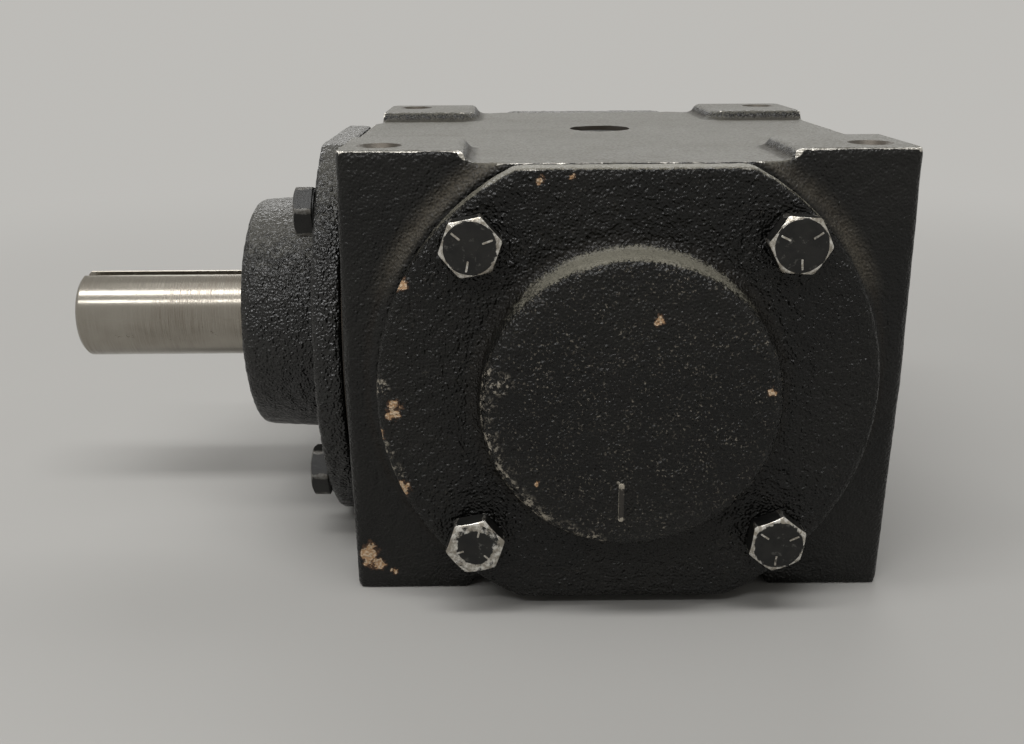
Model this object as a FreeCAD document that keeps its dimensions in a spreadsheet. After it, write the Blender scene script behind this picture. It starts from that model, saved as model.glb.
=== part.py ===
"""Right angle gear reducer with a pair of straight bevel gears.

Millimetres, +Z up. The origin is the centre of the plane that the bottom pads stand on.
The input shaft leaves along -X and the output shaft along +Y. Both axes lie at mid-height
and cross at the gear centre, the common apex of the two pitch cones.
"""

import FreeCAD
import Part
import Sketcher
import math
import os
from types import SimpleNamespace

SIZES = [
    # Housing casting
    ("body_width", "152.4", "side to side, along X, at the top and bottom edges"),
    ("body_depth", "157", "front to back, along Y, at the top and bottom edges"),
    ("body_height", "126", "over the pads"),
    ("draft_swell", "0.9", "how far each side stands out at the parting line, at mid-height"),
    ("corner_round", "3.5", "radius of the upright corners"),
    ("pad_width", "33", "mounting pad along X"),
    ("pad_length", "36", "mounting pad along Y"),
    ("pad_height", "3", "pad above the top and bottom surfaces"),
    ("pad_round", "7", "inner corner of a pad"),
    ("pad_foot", "1.6", "spread of a pad's sloping sides from its top to its foot"),
    ("top_tap_radius", "4.7625", "three-eighths tapped hole in a top pad"),
    ("top_tap_lead", "1.3", "lead-in chamfer of that hole"),
    ("foot_tap_radius", "5.55625", "seven-sixteenths tapped hole in a bottom pad"),
    ("pad_tap_depth", "20", "depth of those holes"),
    ("pad_tap_side", "10.5", "hole centre from the side face"),
    ("pad_tap_front", "12.5", "hole centre from the front or back face"),
    ("side_wall", "18", "front, back and side walls"),
    ("floor_wall", "9", "top and bottom walls"),
    ("cavity_round", "10", "upright corners of the cavity"),
    ("boss_height", "2.1", "machined boss behind a cover"),
    ("boss_lip", "1.5", "boss outside the flange's edge"),
    ("boss_slope", "2", "spread of the boss over its height"),
    ("port_radius", "10", "oil port in the top and the bottom"),
    ("port_offset", "12", "oil port behind the gear centre"),
    # Covers
    ("flange_radius", "67", "cover flange"),
    ("flange_thickness", "9", "cover flange"),
    ("flange_round", "1.8", "front edge of the flange"),
    ("gasket_thickness", "0.4", "gasket under a cover"),
    ("gasket_inset", "1", "gasket inside the flange's edge"),
    ("pilot_radius", "45", "bore that a cover's pilot enters"),
    ("pilot_fit", "0.05", "radial clearance of the pilot"),
    ("pilot_length", "8", "pilot below the flange"),
    ("hub_radius", "39.8", "hub and dome at the flange"),
    ("hub_draft", "1.4", "loss of radius from the flange to the hub's end"),
    ("hub_length", "27", "shaft hub above the flange"),
    ("hub_round", "3", "outer edge of the hub and dome"),
    ("hub_fillet", "3", "foot of the hub and dome"),
    ("dome_height", "10", "blind dome above the flange"),
    ("dome_wall", "5", "blind dome's face"),
    ("dome_relief", "2.5", "space past the bearing inside the dome"),
    ("mark_width", "1.5", "cast bar on the dome's face"),
    ("mark_length", "10.9", "length of that bar"),
    ("mark_rise", "0.6", "bar above the face"),
    ("mark_drop", "26", "bar's middle below the axis"),
    ("mark_side", "2.4", "bar's middle left of the axis"),
    ("barrel_radius", "38", "input carrier inside the housing"),
    ("barrel_cover", "1", "barrel past the inner bearing's cup"),
    ("rib_radius", "25", "rib that a cup sits against"),
    # Cover bolts
    ("bolt_edge", "8.9", "bolt centre inside the flange's edge"),
    ("bolt_radius", "4.7625", "three-eighths bolt"),
    ("bolt_length", "25.4", "under the head"),
    ("bolt_point", "1", "chamfer at the bolt's end"),
    ("bolt_flats", "14.2875", "across the flats of the head"),
    ("bolt_head", "5.95", "height of the head"),
    ("bolt_crown", "0.36", "edge of the head's flat top inside the hexagon's flats"),
    ("bolt_hole_gap", "0.35", "radial gap in the flange"),
    ("thread_gap", "0.05", "radial gap in the tapped hole"),
    ("tap_reserve", "2", "tapped hole past the bolt's end"),
    # Oil plugs
    ("plug_length", "7", "threaded plug"),
    ("plug_recess", "1.5", "plug below the port's mouth"),
    ("plug_socket", "9.525", "across the flats of the socket"),
    ("plug_socket_depth", "4.5", "depth of the socket"),
    # Bevel gears
    ("gear_module", "3", "module at the large end"),
    ("pinion_teeth", "18", "teeth of the pinion"),
    ("gear_teeth", "27", "teeth of the gear"),
    ("pressure_angle", "20", "degrees"),
    ("face_width", "15", "tooth length along the pitch cone"),
    ("backlash", "0.24", "play between the flanks at the large end"),
    ("root_clearance", "0.75", "tip of one gear to the root of the other"),
    ("pinion_hub", "5.5", "back face of the pinion past its pitch circle"),
    ("pinion_sink", "2", "front face of the pinion inside the small ends of its teeth"),
    ("gear_hub", "17", "back face of the gear past its pitch circle"),
    ("gear_sink", "3.3", "front face of the gear inside the small ends of its teeth"),
    ("gear_rim", "5.5", "rim under the gear's teeth"),
    ("gear_hub_radius", "26", "hub of the gear"),
    # Shafts
    ("shaft_radius", "14.2875", "free end of a shaft, one and an eighth inch across"),
    ("journal_radius", "15", "shaft in its bearings and seal"),
    ("shaft_reach", "60", "shaft outside its hub"),
    ("shaft_chamfer", "1.2", "ends of the shafts"),
    ("nose_radius", "11.1", "pinion seat on the input shaft"),
    ("nose_length", "4.5", "input shaft past the pinion's front face"),
    ("gear_seat_radius", "16.5", "gear seat on the output shaft"),
    ("collar_radius", "19", "middle of the output shaft"),
    ("shaft_end_gap", "1.2", "output shaft's blind end to the dome"),
    ("keyway_width", "6.35", "keyways outside the housing"),
    ("keyway_depth", "3.2", "depth of those keyways"),
    ("keyway_length", "57", "length of those keyways"),
    ("pinion_key_width", "5", "key under the pinion"),
    ("gear_key_width", "8", "key under the gear"),
    ("key_sink", "3", "key below the shaft's surface"),
    ("key_rise", "2.2", "key above the shaft's surface"),
    ("key_gap", "0.05", "side and top clearance of a key in the hub"),
    ("key_setback", "2", "key's ends inside the hub's faces"),
    # Retaining rings and spacers
    ("ring_thickness", "1.5", "retaining ring"),
    ("ring_sink", "1.2", "ring below the shaft's surface"),
    ("ring_rise", "2.6", "ring above the shaft's surface"),
    ("ring_mouth", "6", "open gap of the ring"),
    ("ring_gap", "0.05", "ring in its groove"),
    ("spacer_wall", "3", "sleeves on the shafts"),
    ("spacer_fit", "0.03", "radial clearance of a sleeve"),
    # Tapered roller bearings
    ("cup_radius", "31", "outside of the cup"),
    ("bearing_width", "19.05", "cone's back face to cup's back face"),
    ("cup_width", "15", "outer ring"),
    ("cone_width", "18.2", "inner ring"),
    ("roller_count", "14", "rollers in a bearing"),
    ("roller_middle", "9.6", "roller's middle from the cone's back face"),
    ("roller_pitch_radius", "22.6", "roller's middle from the shaft's axis"),
    ("roller_radius", "3.5", "roller at its middle"),
    ("roller_length", "12", "along its axis"),
    ("roller_tilt", "11.25", "degrees between roller axis and shaft axis"),
    ("raceway_gap", "0.04", "roller to raceway"),
    ("rib_gap", "0.1", "roller's end to the cone's rib"),
    ("rib_rise", "2.3", "cone's rib above the raceway"),
    ("lip_rise", "1.15", "cone's lip at the small end, above the raceway"),
    ("cage_lift", "0.35", "inner side of the cage outside the rollers' axes"),
    ("cage_wall", "1.4", "sheet of the cage"),
    ("cage_rim", "1.9", "cage past each end of a roller"),
    ("cage_gap", "0.15", "roller in its window"),
    # Shaft seals
    ("seal_width", "7", "seal in the end of a hub"),
    ("seal_room", "1", "seal to the retaining ring"),
    ("seal_sheet", "1.2", "steel case"),
    ("seal_opening", "7", "case's opening outside the shaft"),
    ("seal_lip", "2.4", "rubber lip"),
    ("seal_bond", "1.4", "rubber moulded over the case"),
    ("seal_fit", "0.05", "lip to the shaft"),
]

doc = FreeCAD.newDocument("right_angle_gear_reducer")
sheet = doc.addObject("Spreadsheet::Sheet", "Sizes")
for row, (alias, number, note) in enumerate(SIZES, start=1):
    sheet.set(f"A{row}", alias)
    sheet.set(f"B{row}", number)
    sheet.set(f"C{row}", note)
    sheet.setAlias(f"B{row}", alias)
doc.recompute()


class Size:
    """A formula on the sheet's cells, written with ordinary arithmetic, and the number it gives."""

    def __init__(self, formula, number):
        self.formula = formula
        self.number = number

    def __str__(self):
        return self.formula

    def __add__(self, other):
        return Size(f"({self} + {other})", self.number + value(other))

    def __sub__(self, other):
        return Size(f"({self} - {other})", self.number - value(other))

    def __mul__(self, other):
        return Size(f"({self} * {other})", self.number * value(other))

    def __truediv__(self, other):
        return Size(f"({self} / {other})", self.number / value(other))

    def __neg__(self):
        return self * -1


def value(size):
    return size.number if isinstance(size, Size) else float(size)


def plain(number):
    return Size(str(number), number)


def degrees(number):
    return Size(f"{number} deg", number)


def sin(angle):
    return Size(f"sin({angle})", math.sin(math.radians(angle.number)))


def cos(angle):
    return Size(f"cos({angle})", math.cos(math.radians(angle.number)))


def tan(angle):
    return Size(f"tan({angle})", math.tan(math.radians(angle.number)))


def atan(slope):
    return Size(f"atan({slope})", math.degrees(math.atan(slope.number)))


def sqrt(square):
    return Size(f"sqrt({square})", math.sqrt(square.number))


s = SimpleNamespace(**{alias: Size(f"Sizes.{alias}", float(number)) for alias, number, note in SIZES})

# Places that several pieces share, all measured from the gear centre
cone_distance = s.gear_module / 2 * sqrt(s.pinion_teeth * s.pinion_teeth + s.gear_teeth * s.gear_teeth)
toe_share = plain(1) - s.face_width / cone_distance
pinion_heel = s.gear_module * s.gear_teeth / 2
gear_heel = s.gear_module * s.pinion_teeth / 2
pinion_back = pinion_heel + s.pinion_hub
pinion_front = pinion_heel * toe_share + s.pinion_sink
gear_back = gear_heel + s.gear_hub
gear_front = gear_heel * toe_share + s.gear_sink
bolt_spread = (s.flange_radius - s.bolt_edge) / sqrt(plain(2))
axis_height = s.body_height / 2
top_rise = axis_height - s.pad_height
front_face = s.body_depth / 2 + s.boss_height
side_face = s.body_width / 2 + s.boss_height
output_seat = front_face + s.gasket_thickness
input_seat = side_face + s.gasket_thickness
output_hub_end = output_seat + s.flange_thickness + s.hub_length
input_hub_end = input_seat + s.flange_thickness + s.hub_length
dome_end = output_seat + s.flange_thickness + s.dome_height
output_cup_back = dome_end - s.dome_wall - s.dome_relief
output_cone_back = output_cup_back - s.bearing_width
inner_cup_back = pinion_back + s.bearing_width
input_seal_start = input_hub_end - s.seal_width
outer_cone_back = input_seal_start - s.seal_room - s.ring_thickness
outer_cup_back = outer_cone_back - s.bearing_width
output_blind_end = output_cup_back + s.dome_relief - s.shaft_end_gap

# Directions of the three covers, as turns about Z that bring +X to the outward direction
TURN = {"input": 180, "front": -90, "rear": 90, "upright": 0}
X_AXIS = FreeCAD.Vector(1, 0, 0)
Z_AXIS = FreeCAD.Vector(0, 0, 1)
TOUCH = 1e-6


def bind(thing, formulas):
    for name, size in formulas.items():
        thing.setExpression(name, str(size))


def new_body(name, side):
    """A body at the gear centre whose X axis runs outward along one cover's axis."""
    body = doc.addObject("PartDesign::Body", name)
    body.Label = name
    body.Placement = FreeCAD.Placement(FreeCAD.Vector(), FreeCAD.Rotation(Z_AXIS, TURN[side]))
    bind(body, {"Placement.Base.z": axis_height})
    return body


def origin_item(body, role):
    return next(item for item in body.Origin.OriginFeatures if item.Role == role)


def new_sketch(body, name, role="XY_Plane", offset=None):
    sketch = body.newObject("Sketcher::SketchObject", name)
    sketch.AttachmentSupport = [(origin_item(body, role), "")]
    sketch.MapMode = "FlatFace"
    for axis, size in (offset or {}).items():
        bind(sketch, {f"AttachmentOffset.Base.{axis}": size})
    return sketch


def hold_point(sketch, edge, end, across, up):
    """Hold one point of an edge at two sizes from the sketch's origin."""
    for kind, size, axis in (("DistanceX", across, -2), ("DistanceY", up, -1)):
        if abs(value(size)) < TOUCH:
            sketch.addConstraint(Sketcher.Constraint("PointOnObject", edge, end, axis))
        else:
            held = sketch.addConstraint(Sketcher.Constraint(kind, -1, 1, edge, end, value(size)))
            bind(sketch, {f"Constraints[{held}]": size})


def draw_polygon(sketch, corners):
    spots = [FreeCAD.Vector(value(across), value(up)) for across, up in corners]
    edges = [sketch.addGeometry(Part.LineSegment(spots[i - 1], spots[i])) for i in range(len(spots))]
    for i, (across, up) in enumerate(corners):
        sketch.addConstraint(Sketcher.Constraint("Coincident", edges[i - 1], 2, edges[i], 1))
        hold_point(sketch, edges[i], 2, across, up)


def draw_circles(sketch, centres, radius):
    for across, up in centres:
        middle = FreeCAD.Vector(value(across), value(up))
        circle = sketch.addGeometry(Part.Circle(middle, Z_AXIS, value(radius)))
        hold_point(sketch, circle, 3, across, up)
        held = sketch.addConstraint(Sketcher.Constraint("Radius", circle, value(radius)))
        bind(sketch, {f"Constraints[{held}]": radius})


def draw_rounded_rectangle(sketch, width, depth, round_radius):
    """Four sides and four tangent corner arcs about the sketch's origin."""
    half_w = value(width) / 2
    half_d = value(depth) / 2
    r = value(round_radius)
    signs = [(1, -1), (1, 1), (-1, 1), (-1, -1)]
    arcs = []
    for turn, (across, up) in enumerate(signs):
        middle = FreeCAD.Vector(across * (half_w - r), up * (half_d - r))
        start = math.radians(90 * turn - 90)
        circle = Part.Circle(middle, Z_AXIS, r)
        arcs.append(sketch.addGeometry(Part.ArcOfCircle(circle, start, start + math.pi / 2)))
        held = sketch.addConstraint(Sketcher.Constraint("Radius", arcs[-1], r))
        bind(sketch, {f"Constraints[{held}]": round_radius})
    for turn in range(4):
        first = sketch.Geometry[arcs[turn]].EndPoint
        last = sketch.Geometry[arcs[(turn + 1) % 4]].StartPoint
        side = sketch.addGeometry(Part.LineSegment(first, last))
        sketch.addConstraint(Sketcher.Constraint("Tangent", arcs[turn], 2, side, 1))
        sketch.addConstraint(Sketcher.Constraint("Tangent", side, 2, arcs[(turn + 1) % 4], 1))
        upright = turn % 2 == 0
        sketch.addConstraint(Sketcher.Constraint("Vertical" if upright else "Horizontal", side))
        kind = "DistanceX" if upright else "DistanceY"
        size = (width if upright else depth) / 2
        size = size if turn in (0, 1) else -size
        held = sketch.addConstraint(Sketcher.Constraint(kind, -1, 1, side, 1, value(size)))
        bind(sketch, {f"Constraints[{held}]": size})


def turn_profile(body, corners, kind="Revolution", name="turned", axis="H_Axis", offset=None):
    """Revolve, or cut by revolving, a closed outline of points along and away from the axis."""
    sketch = new_sketch(body, f"{name}_profile", "XY_Plane", offset)
    draw_polygon(sketch, corners)
    feature = body.newObject(f"PartDesign::{kind}", name)
    feature.Profile = sketch
    feature.ReferenceAxis = (sketch, [axis])
    feature.Angle = 360
    doc.recompute()
    return feature


def cut_box(body, name, x, y, z, kind="SubtractiveBox"):
    """Cut, or add, the block between two sizes on each axis of the body."""
    box = body.newObject(f"PartDesign::{kind}", name)
    for axis, side, (low, high) in zip("xyz", ("Length", "Width", "Height"), (x, y, z)):
        bind(box, {side: high - low, f"Placement.Base.{axis}": low})
    doc.recompute()
    return box


def cut_round(body, name, radius, start, length, direction, kind="SubtractiveCylinder"):
    """Cut, or add, a round bar from start, given as three sizes, along a direction."""
    bar = body.newObject(f"PartDesign::{kind}", name)
    bar.Placement = FreeCAD.Placement(FreeCAD.Vector(), FreeCAD.Rotation(Z_AXIS, direction))
    bind(bar, {"Radius": radius, "Height": length})
    for axis, size in zip("xyz", start):
        bind(bar, {f"Placement.Base.{axis}": size})
    doc.recompute()
    return bar


def ring_pattern(body, features, count, role="X_Axis"):
    """Repeat features evenly round an axis of the body."""
    pattern = body.newObject("PartDesign::PolarPattern", "ring")
    pattern.Originals = features
    pattern.Axis = (origin_item(body, role), [""])
    pattern.Angle = 360
    bind(pattern, {"Occurrences": count})
    body.Tip = pattern
    doc.recompute()


def dress_rings(body, rings, radius, kind="Fillet"):
    """Fillet or chamfer the whole circles found at places along and away from the body's X axis."""
    base = body.Tip
    wanted = [(value(along), value(away)) for along, away in rings]
    names = []
    for number, edge in enumerate(base.Shape.Edges, start=1):
        if not isinstance(edge.Curve, Part.Circle):
            continue
        middle = edge.Curve.Center
        on_axis = math.hypot(middle.y, middle.z) < TOUCH
        if on_axis and any(
            abs(middle.x - along) < TOUCH and abs(edge.Curve.Radius - away) < TOUCH for along, away in wanted
        ):
            names.append(f"Edge{number}")
    dress_edges(body, names, radius, kind)


def dress_edges(body, names, radius, kind="Fillet"):
    base = body.Tip
    dressed = body.newObject(f"PartDesign::{kind}", kind.lower())
    dressed.Base = (base, names)
    bind(dressed, {"Radius" if kind == "Fillet" else "Size": radius})
    doc.recompute()


# Housing: a grey-iron box casting with drafted sides, machined bosses, pads, bores and tapped holes

def cut_trough(body, name, half_width, reach, turn):
    """Trough with sloping sides along the middle of the top or bottom, as deep as the pads are high."""
    trough = body.newObject("PartDesign::SubtractiveWedge", name)
    trough.Placement = FreeCAD.Placement(FreeCAD.Vector(), turn)
    foot = half_width - s.pad_foot
    brim = foot + s.pad_foot / s.pad_height * axis_height
    bind(trough, {"Ymin": top_rise, "Ymax": top_rise + axis_height})
    bind(trough, {"Xmin": -foot, "Xmax": foot, "X2min": -brim, "X2max": brim})
    bind(trough, {"Zmin": -reach, "Zmax": reach, "Z2min": -reach, "Z2max": reach})
    doc.recompute()


def make_housing():
    body = new_body("housing", "upright")
    outline = new_sketch(body, "parting_outline")
    swell = s.draft_swell * 2
    draw_rounded_rectangle(outline, s.body_width + swell, s.body_depth + swell, s.corner_round)
    block = body.newObject("PartDesign::Pad", "block")
    block.Profile = outline
    block.SideType = "Two sides"
    draft = -atan(s.draft_swell / axis_height)
    bind(block, {"Length": axis_height, "Length2": axis_height, "TaperAngle": draft, "TaperAngle2": draft})
    doc.recompute()

    # Raised bosses behind the covers, spreading a little towards the wall
    root = s.draft_swell * 2
    lip = s.flange_radius + s.boss_lip
    spread = lip + s.boss_slope / s.boss_height * (root + s.boss_height)
    for side, face in (("front", front_face), ("rear", front_face), ("input", side_face)):
        outward = FreeCAD.Rotation(Z_AXIS, TURN[side]).multVec(X_AXIS)
        boss = body.newObject("PartDesign::AdditiveCone", f"{side}_boss")
        boss.Placement = FreeCAD.Placement(FreeCAD.Vector(), FreeCAD.Rotation(Z_AXIS, outward))
        bind(boss, {"Radius1": spread, "Radius2": lip, "Height": root + s.boss_height})
        inner = face - s.boss_height - root
        bind(boss, {"Placement.Base.x": inner * round(outward.x)})
        bind(boss, {"Placement.Base.y": inner * round(outward.y)})
        doc.recompute()

    # The bosses end at the planes of the pads, and between the pads at the top and bottom surfaces
    for name, low in (("top_level", axis_height), ("bottom_level", -axis_height - s.flange_radius)):
        wide = (-s.body_width, s.body_width)
        cut_box(body, name, wide, (-s.body_depth, s.body_depth), (low, low + s.flange_radius))
    gap_x = s.body_width / 2 - s.pad_width
    gap_y = s.body_depth / 2 - s.pad_length
    for name, tip in (("top", 90), ("bottom", -90)):
        cut_trough(body, f"{name}_trough", gap_x, s.body_depth, FreeCAD.Rotation(X_AXIS, tip))
        across = FreeCAD.Rotation(Z_AXIS, 90) * FreeCAD.Rotation(X_AXIS, tip)
        cut_trough(body, f"{name}_cross_trough", gap_y, s.body_width, across)
    corner_x = value(gap_x - s.pad_foot / 2)
    corner_y = value(gap_y - s.pad_foot / 2)
    pad_corners = []
    for number, edge in enumerate(body.Tip.Shape.Edges, start=1):
        middle = edge.CenterOfMass
        if math.hypot(abs(middle.x) - corner_x, abs(middle.y) - corner_y) < TOUCH:
            pad_corners.append(f"Edge{number}")
    dress_edges(body, pad_corners, s.pad_round)

    # Gear chamber and the three pilot bores that open into it
    chamber = new_sketch(body, "chamber_outline")
    wide = s.body_width - s.side_wall * 2
    deep = s.body_depth - s.side_wall * 2
    draw_rounded_rectangle(chamber, wide, deep, s.cavity_round)
    hollow = body.newObject("PartDesign::Pocket", "chamber")
    hollow.Profile = chamber
    hollow.SideType = "Symmetric"
    bind(hollow, {"Length": (top_rise - s.floor_wall) * 2})
    doc.recompute()
    for side, face in (("front", front_face), ("rear", front_face), ("input", side_face)):
        outward = FreeCAD.Rotation(Z_AXIS, TURN[side]).multVec(X_AXIS)
        cut_round(body, f"{side}_bore", s.pilot_radius, (0, 0, 0), face + s.boss_height, outward)

    # Tapped holes for the cover bolts
    square = [(x, y) for x in (bolt_spread, -bolt_spread) for y in (bolt_spread, -bolt_spread)]
    depth = s.bolt_length - s.flange_thickness - s.gasket_thickness + s.tap_reserve
    for side, role, shift, inward in (
        ("front", "XZ_Plane", front_face, False),
        ("rear", "XZ_Plane", -front_face, True),
        ("input", "YZ_Plane", -side_face, True),
    ):
        holes = new_sketch(body, f"{side}_tap_centres", role, {"z": shift})
        draw_circles(holes, square, s.bolt_radius + s.thread_gap)
        taps = body.newObject("PartDesign::Pocket", f"{side}_taps")
        taps.Profile = holes
        taps.Reversed = inward
        bind(taps, {"Length": depth})
        doc.recompute()

    # Tapped holes in the pads, with a lead-in at the top, and the oil ports
    tap_x = s.body_width / 2 - s.pad_tap_side
    tap_y = s.body_depth / 2 - s.pad_tap_front
    corners = [(tap_x, tap_y), (-tap_x, tap_y), (-tap_x, -tap_y), (tap_x, -tap_y)]
    for name, shift, inward, radius in (
        ("top", axis_height, False, s.top_tap_radius),
        ("bottom", -axis_height, True, s.foot_tap_radius),
    ):
        holes = new_sketch(body, f"{name}_pad_centres", "XY_Plane", {"z": shift})
        draw_circles(holes, corners, radius)
        taps = body.newObject("PartDesign::Pocket", f"{name}_pad_taps")
        taps.Profile = holes
        taps.Reversed = inward
        bind(taps, {"Length": s.pad_tap_depth})
        doc.recompute()
    rims = []
    for number, edge in enumerate(body.Tip.Shape.Edges, start=1):
        ring = edge.Curve
        if not isinstance(ring, Part.Circle) or abs(ring.Radius - value(s.top_tap_radius)) > TOUCH:
            continue
        if abs(ring.Center.z - value(axis_height)) < TOUCH:
            rims.append(f"Edge{number}")
    dress_edges(body, rims, s.top_tap_lead, "Chamfer")
    for name, low in (("fill", top_rise - s.floor_wall), ("drain", -top_rise)):
        cut_round(body, f"{name}_port", s.port_radius, (0, s.port_offset, low), s.floor_wall, Z_AXIS)


# Covers: machined castings with a pilot, a round flange with two flats, and a dome or a shaft hub

def finish_flange(body, seat):
    """Trim the flange's two flats, drill its bolt holes and round its front edge."""
    front = seat + s.flange_thickness
    dress_rings(body, [(front, s.flange_radius)], s.flange_round)
    side = s.flange_radius + s.flange_round
    past = top_rise + s.flange_radius
    cut_box(body, "top_flat", (seat, front), (-side, side), (top_rise, past))
    cut_box(body, "bottom_flat", (seat, front), (-side, side), (-past, -top_rise))
    hole_radius = s.bolt_radius + s.bolt_hole_gap
    start = (seat, bolt_spread, bolt_spread)
    hole = cut_round(body, "bolt_hole", hole_radius, start, s.flange_thickness, X_AXIS)
    ring_pattern(body, [hole], 4)


def make_front_cover():
    body = new_body("front_cover", "front")
    front = output_seat + s.flange_thickness
    pilot = s.pilot_radius - s.pilot_fit
    pilot_end = output_seat - s.pilot_length
    taper = s.hub_draft * s.dome_height / s.hub_length
    tip_radius = s.hub_radius - taper
    floor = dome_end - s.dome_wall
    turn_profile(body, [
        (pilot_end, s.cup_radius), (pilot_end, pilot), (output_seat, pilot),
        (output_seat, s.flange_radius), (front, s.flange_radius), (front, s.hub_radius),
        (dome_end, tip_radius), (dome_end, 0), (floor, 0), (floor, s.rib_radius),
        (output_cup_back, s.rib_radius), (output_cup_back, s.cup_radius),
    ])
    dress_rings(body, [(dome_end, tip_radius)], s.hub_round)
    dress_rings(body, [(front, s.hub_radius)], s.hub_fillet)
    finish_flange(body, output_seat)
    left = -s.mark_side - s.mark_width / 2
    bottom = -s.mark_drop - s.mark_length / 2
    cut_box(body, "cast_bar", (dome_end - s.mark_rise, dome_end + s.mark_rise),
            (left, left + s.mark_width), (bottom, bottom + s.mark_length), "AdditiveBox")


def make_output_cover():
    body = new_body("output_cover", "rear")
    front = output_seat + s.flange_thickness
    pilot = s.pilot_radius - s.pilot_fit
    pilot_end = output_seat - s.pilot_length
    tip_radius = s.hub_radius - s.hub_draft
    seal_start = output_hub_end - s.seal_width
    turn_profile(body, [
        (pilot_end, s.cup_radius), (pilot_end, pilot), (output_seat, pilot),
        (output_seat, s.flange_radius), (front, s.flange_radius), (front, s.hub_radius),
        (output_hub_end, tip_radius), (output_hub_end, s.cup_radius), (seal_start, s.cup_radius),
        (seal_start, s.rib_radius), (output_cup_back, s.rib_radius), (output_cup_back, s.cup_radius),
    ])
    dress_rings(body, [(output_hub_end, tip_radius)], s.hub_round)
    dress_rings(body, [(front, s.hub_radius)], s.hub_fillet)
    finish_flange(body, output_seat)


def make_input_carrier():
    body = new_body("input_carrier", "input")
    front = input_seat + s.flange_thickness
    pilot = s.pilot_radius - s.pilot_fit
    pilot_end = input_seat - s.pilot_length
    tip_radius = s.hub_radius - s.hub_draft
    barrel_end = inner_cup_back - s.cup_width - s.barrel_cover
    turn_profile(body, [
        (barrel_end, s.cup_radius), (barrel_end, s.barrel_radius), (pilot_end, s.barrel_radius),
        (pilot_end, pilot), (input_seat, pilot), (input_seat, s.flange_radius),
        (front, s.flange_radius), (front, s.hub_radius), (input_hub_end, tip_radius),
        (input_hub_end, s.cup_radius), (outer_cup_back, s.cup_radius), (outer_cup_back, s.rib_radius),
        (inner_cup_back, s.rib_radius), (inner_cup_back, s.cup_radius),
    ])
    dress_rings(body, [(input_hub_end, tip_radius)], s.hub_round)
    dress_rings(body, [(front, s.hub_radius)], s.hub_fillet)
    finish_flange(body, input_seat)


# Gaskets: sheet cut to the flange, a little inside its edge

def make_gasket(name, side, face):
    body = new_body(name, side)
    seat = face + s.gasket_thickness
    rim = s.flange_radius - s.gasket_inset
    turn_profile(body, [(face, s.pilot_radius), (face, rim), (seat, rim), (seat, s.pilot_radius)])
    flat = top_rise - s.gasket_inset
    past = flat + rim
    cut_box(body, "top_flat", (face, seat), (-rim, rim), (flat, past))
    cut_box(body, "bottom_flat", (face, seat), (-rim, rim), (-past, -flat))
    hole_radius = s.bolt_radius + s.bolt_hole_gap
    start = (face, bolt_spread, bolt_spread)
    hole = cut_round(body, "bolt_hole", hole_radius, start, s.gasket_thickness, X_AXIS)
    ring_pattern(body, [hole], 4)


# Cover bolts: hex heads seated on the flange, each left at its own angle, shanks in tapped holes

HEAD_ANGLES = {"front": (11, -4, 11, 22), "input": (30, 12, 24, 5), "rear": (8, 27, 16, 40)}


def draw_hexagon(sketch, across_flats, first=0):
    corner = across_flats / 2 / cos(degrees(30))
    turns = [degrees(first + 60 * corner_number) for corner_number in range(6)]
    draw_polygon(sketch, [(corner * cos(turn), corner * sin(turn)) for turn in turns])


def make_bolts(name, side, seat):
    body = new_body(name, side)
    under = seat + s.flange_thickness
    end = under - s.bolt_length
    top = under + s.bolt_head
    inside = under + s.bolt_head / 2
    corner = s.bolt_flats / 2 / cos(degrees(30)) + s.bolt_point
    crown_radius = s.bolt_flats / 2 - s.bolt_crown
    fall = (corner - crown_radius) * tan(degrees(30))
    places = [(x, y) for y in (bolt_spread, -bolt_spread) for x in (-bolt_spread, bolt_spread)]
    for (across, up), angle in zip(places, HEAD_ANGLES[side]):
        spot = {"y": across, "z": up}
        turn_profile(body, [
            (end, 0), (end, s.bolt_radius - s.bolt_point), (end + s.bolt_point, s.bolt_radius),
            (inside, s.bolt_radius), (inside, 0),
        ], name="shank", offset=spot)
        outline = new_sketch(body, "head_outline", "YZ_Plane", {"x": across, "y": up, "z": under})
        draw_hexagon(outline, s.bolt_flats, angle)
        head = body.newObject("PartDesign::Pad", "head")
        head.Profile = outline
        bind(head, {"Length": s.bolt_head})
        doc.recompute()
        crown = [(top, crown_radius), (top, corner), (top - fall, corner)]
        turn_profile(body, crown, "Groove", "crown", offset=spot)


# Oil plugs: headless threaded plugs with a hexagon socket, sunk in the ports

def make_plug(name, flip):
    body = new_body(name, "upright")
    body.Placement = FreeCAD.Placement(FreeCAD.Vector(), FreeCAD.Rotation(X_AXIS, 180 if flip else 0))
    rise = top_rise - s.plug_recess
    level = axis_height - rise if flip else axis_height + rise
    bind(body, {"Placement.Base.y": s.port_offset, "Placement.Base.z": level})
    down = FreeCAD.Vector(0, 0, -1)
    radius = s.port_radius - s.thread_gap
    cut_round(body, "thread", radius, (0, 0, 0), s.plug_length, down, "AdditiveCylinder")
    socket = new_sketch(body, "socket_outline")
    draw_hexagon(socket, s.plug_socket)
    recess = body.newObject("PartDesign::Pocket", "socket")
    recess.Profile = socket
    bind(recess, {"Length": s.plug_socket_depth})
    doc.recompute()


# Shafts: turned bars with keyways, a ring groove and a shoulder for each piece that sits on them

def keyway(body, width, depth, radius, start, end):
    """Slot along the top of a shaft between two places on its axis."""
    cut_box(body, "keyway", (start, end), (-width / 2, width / 2), (radius - depth, radius + depth))


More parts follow.
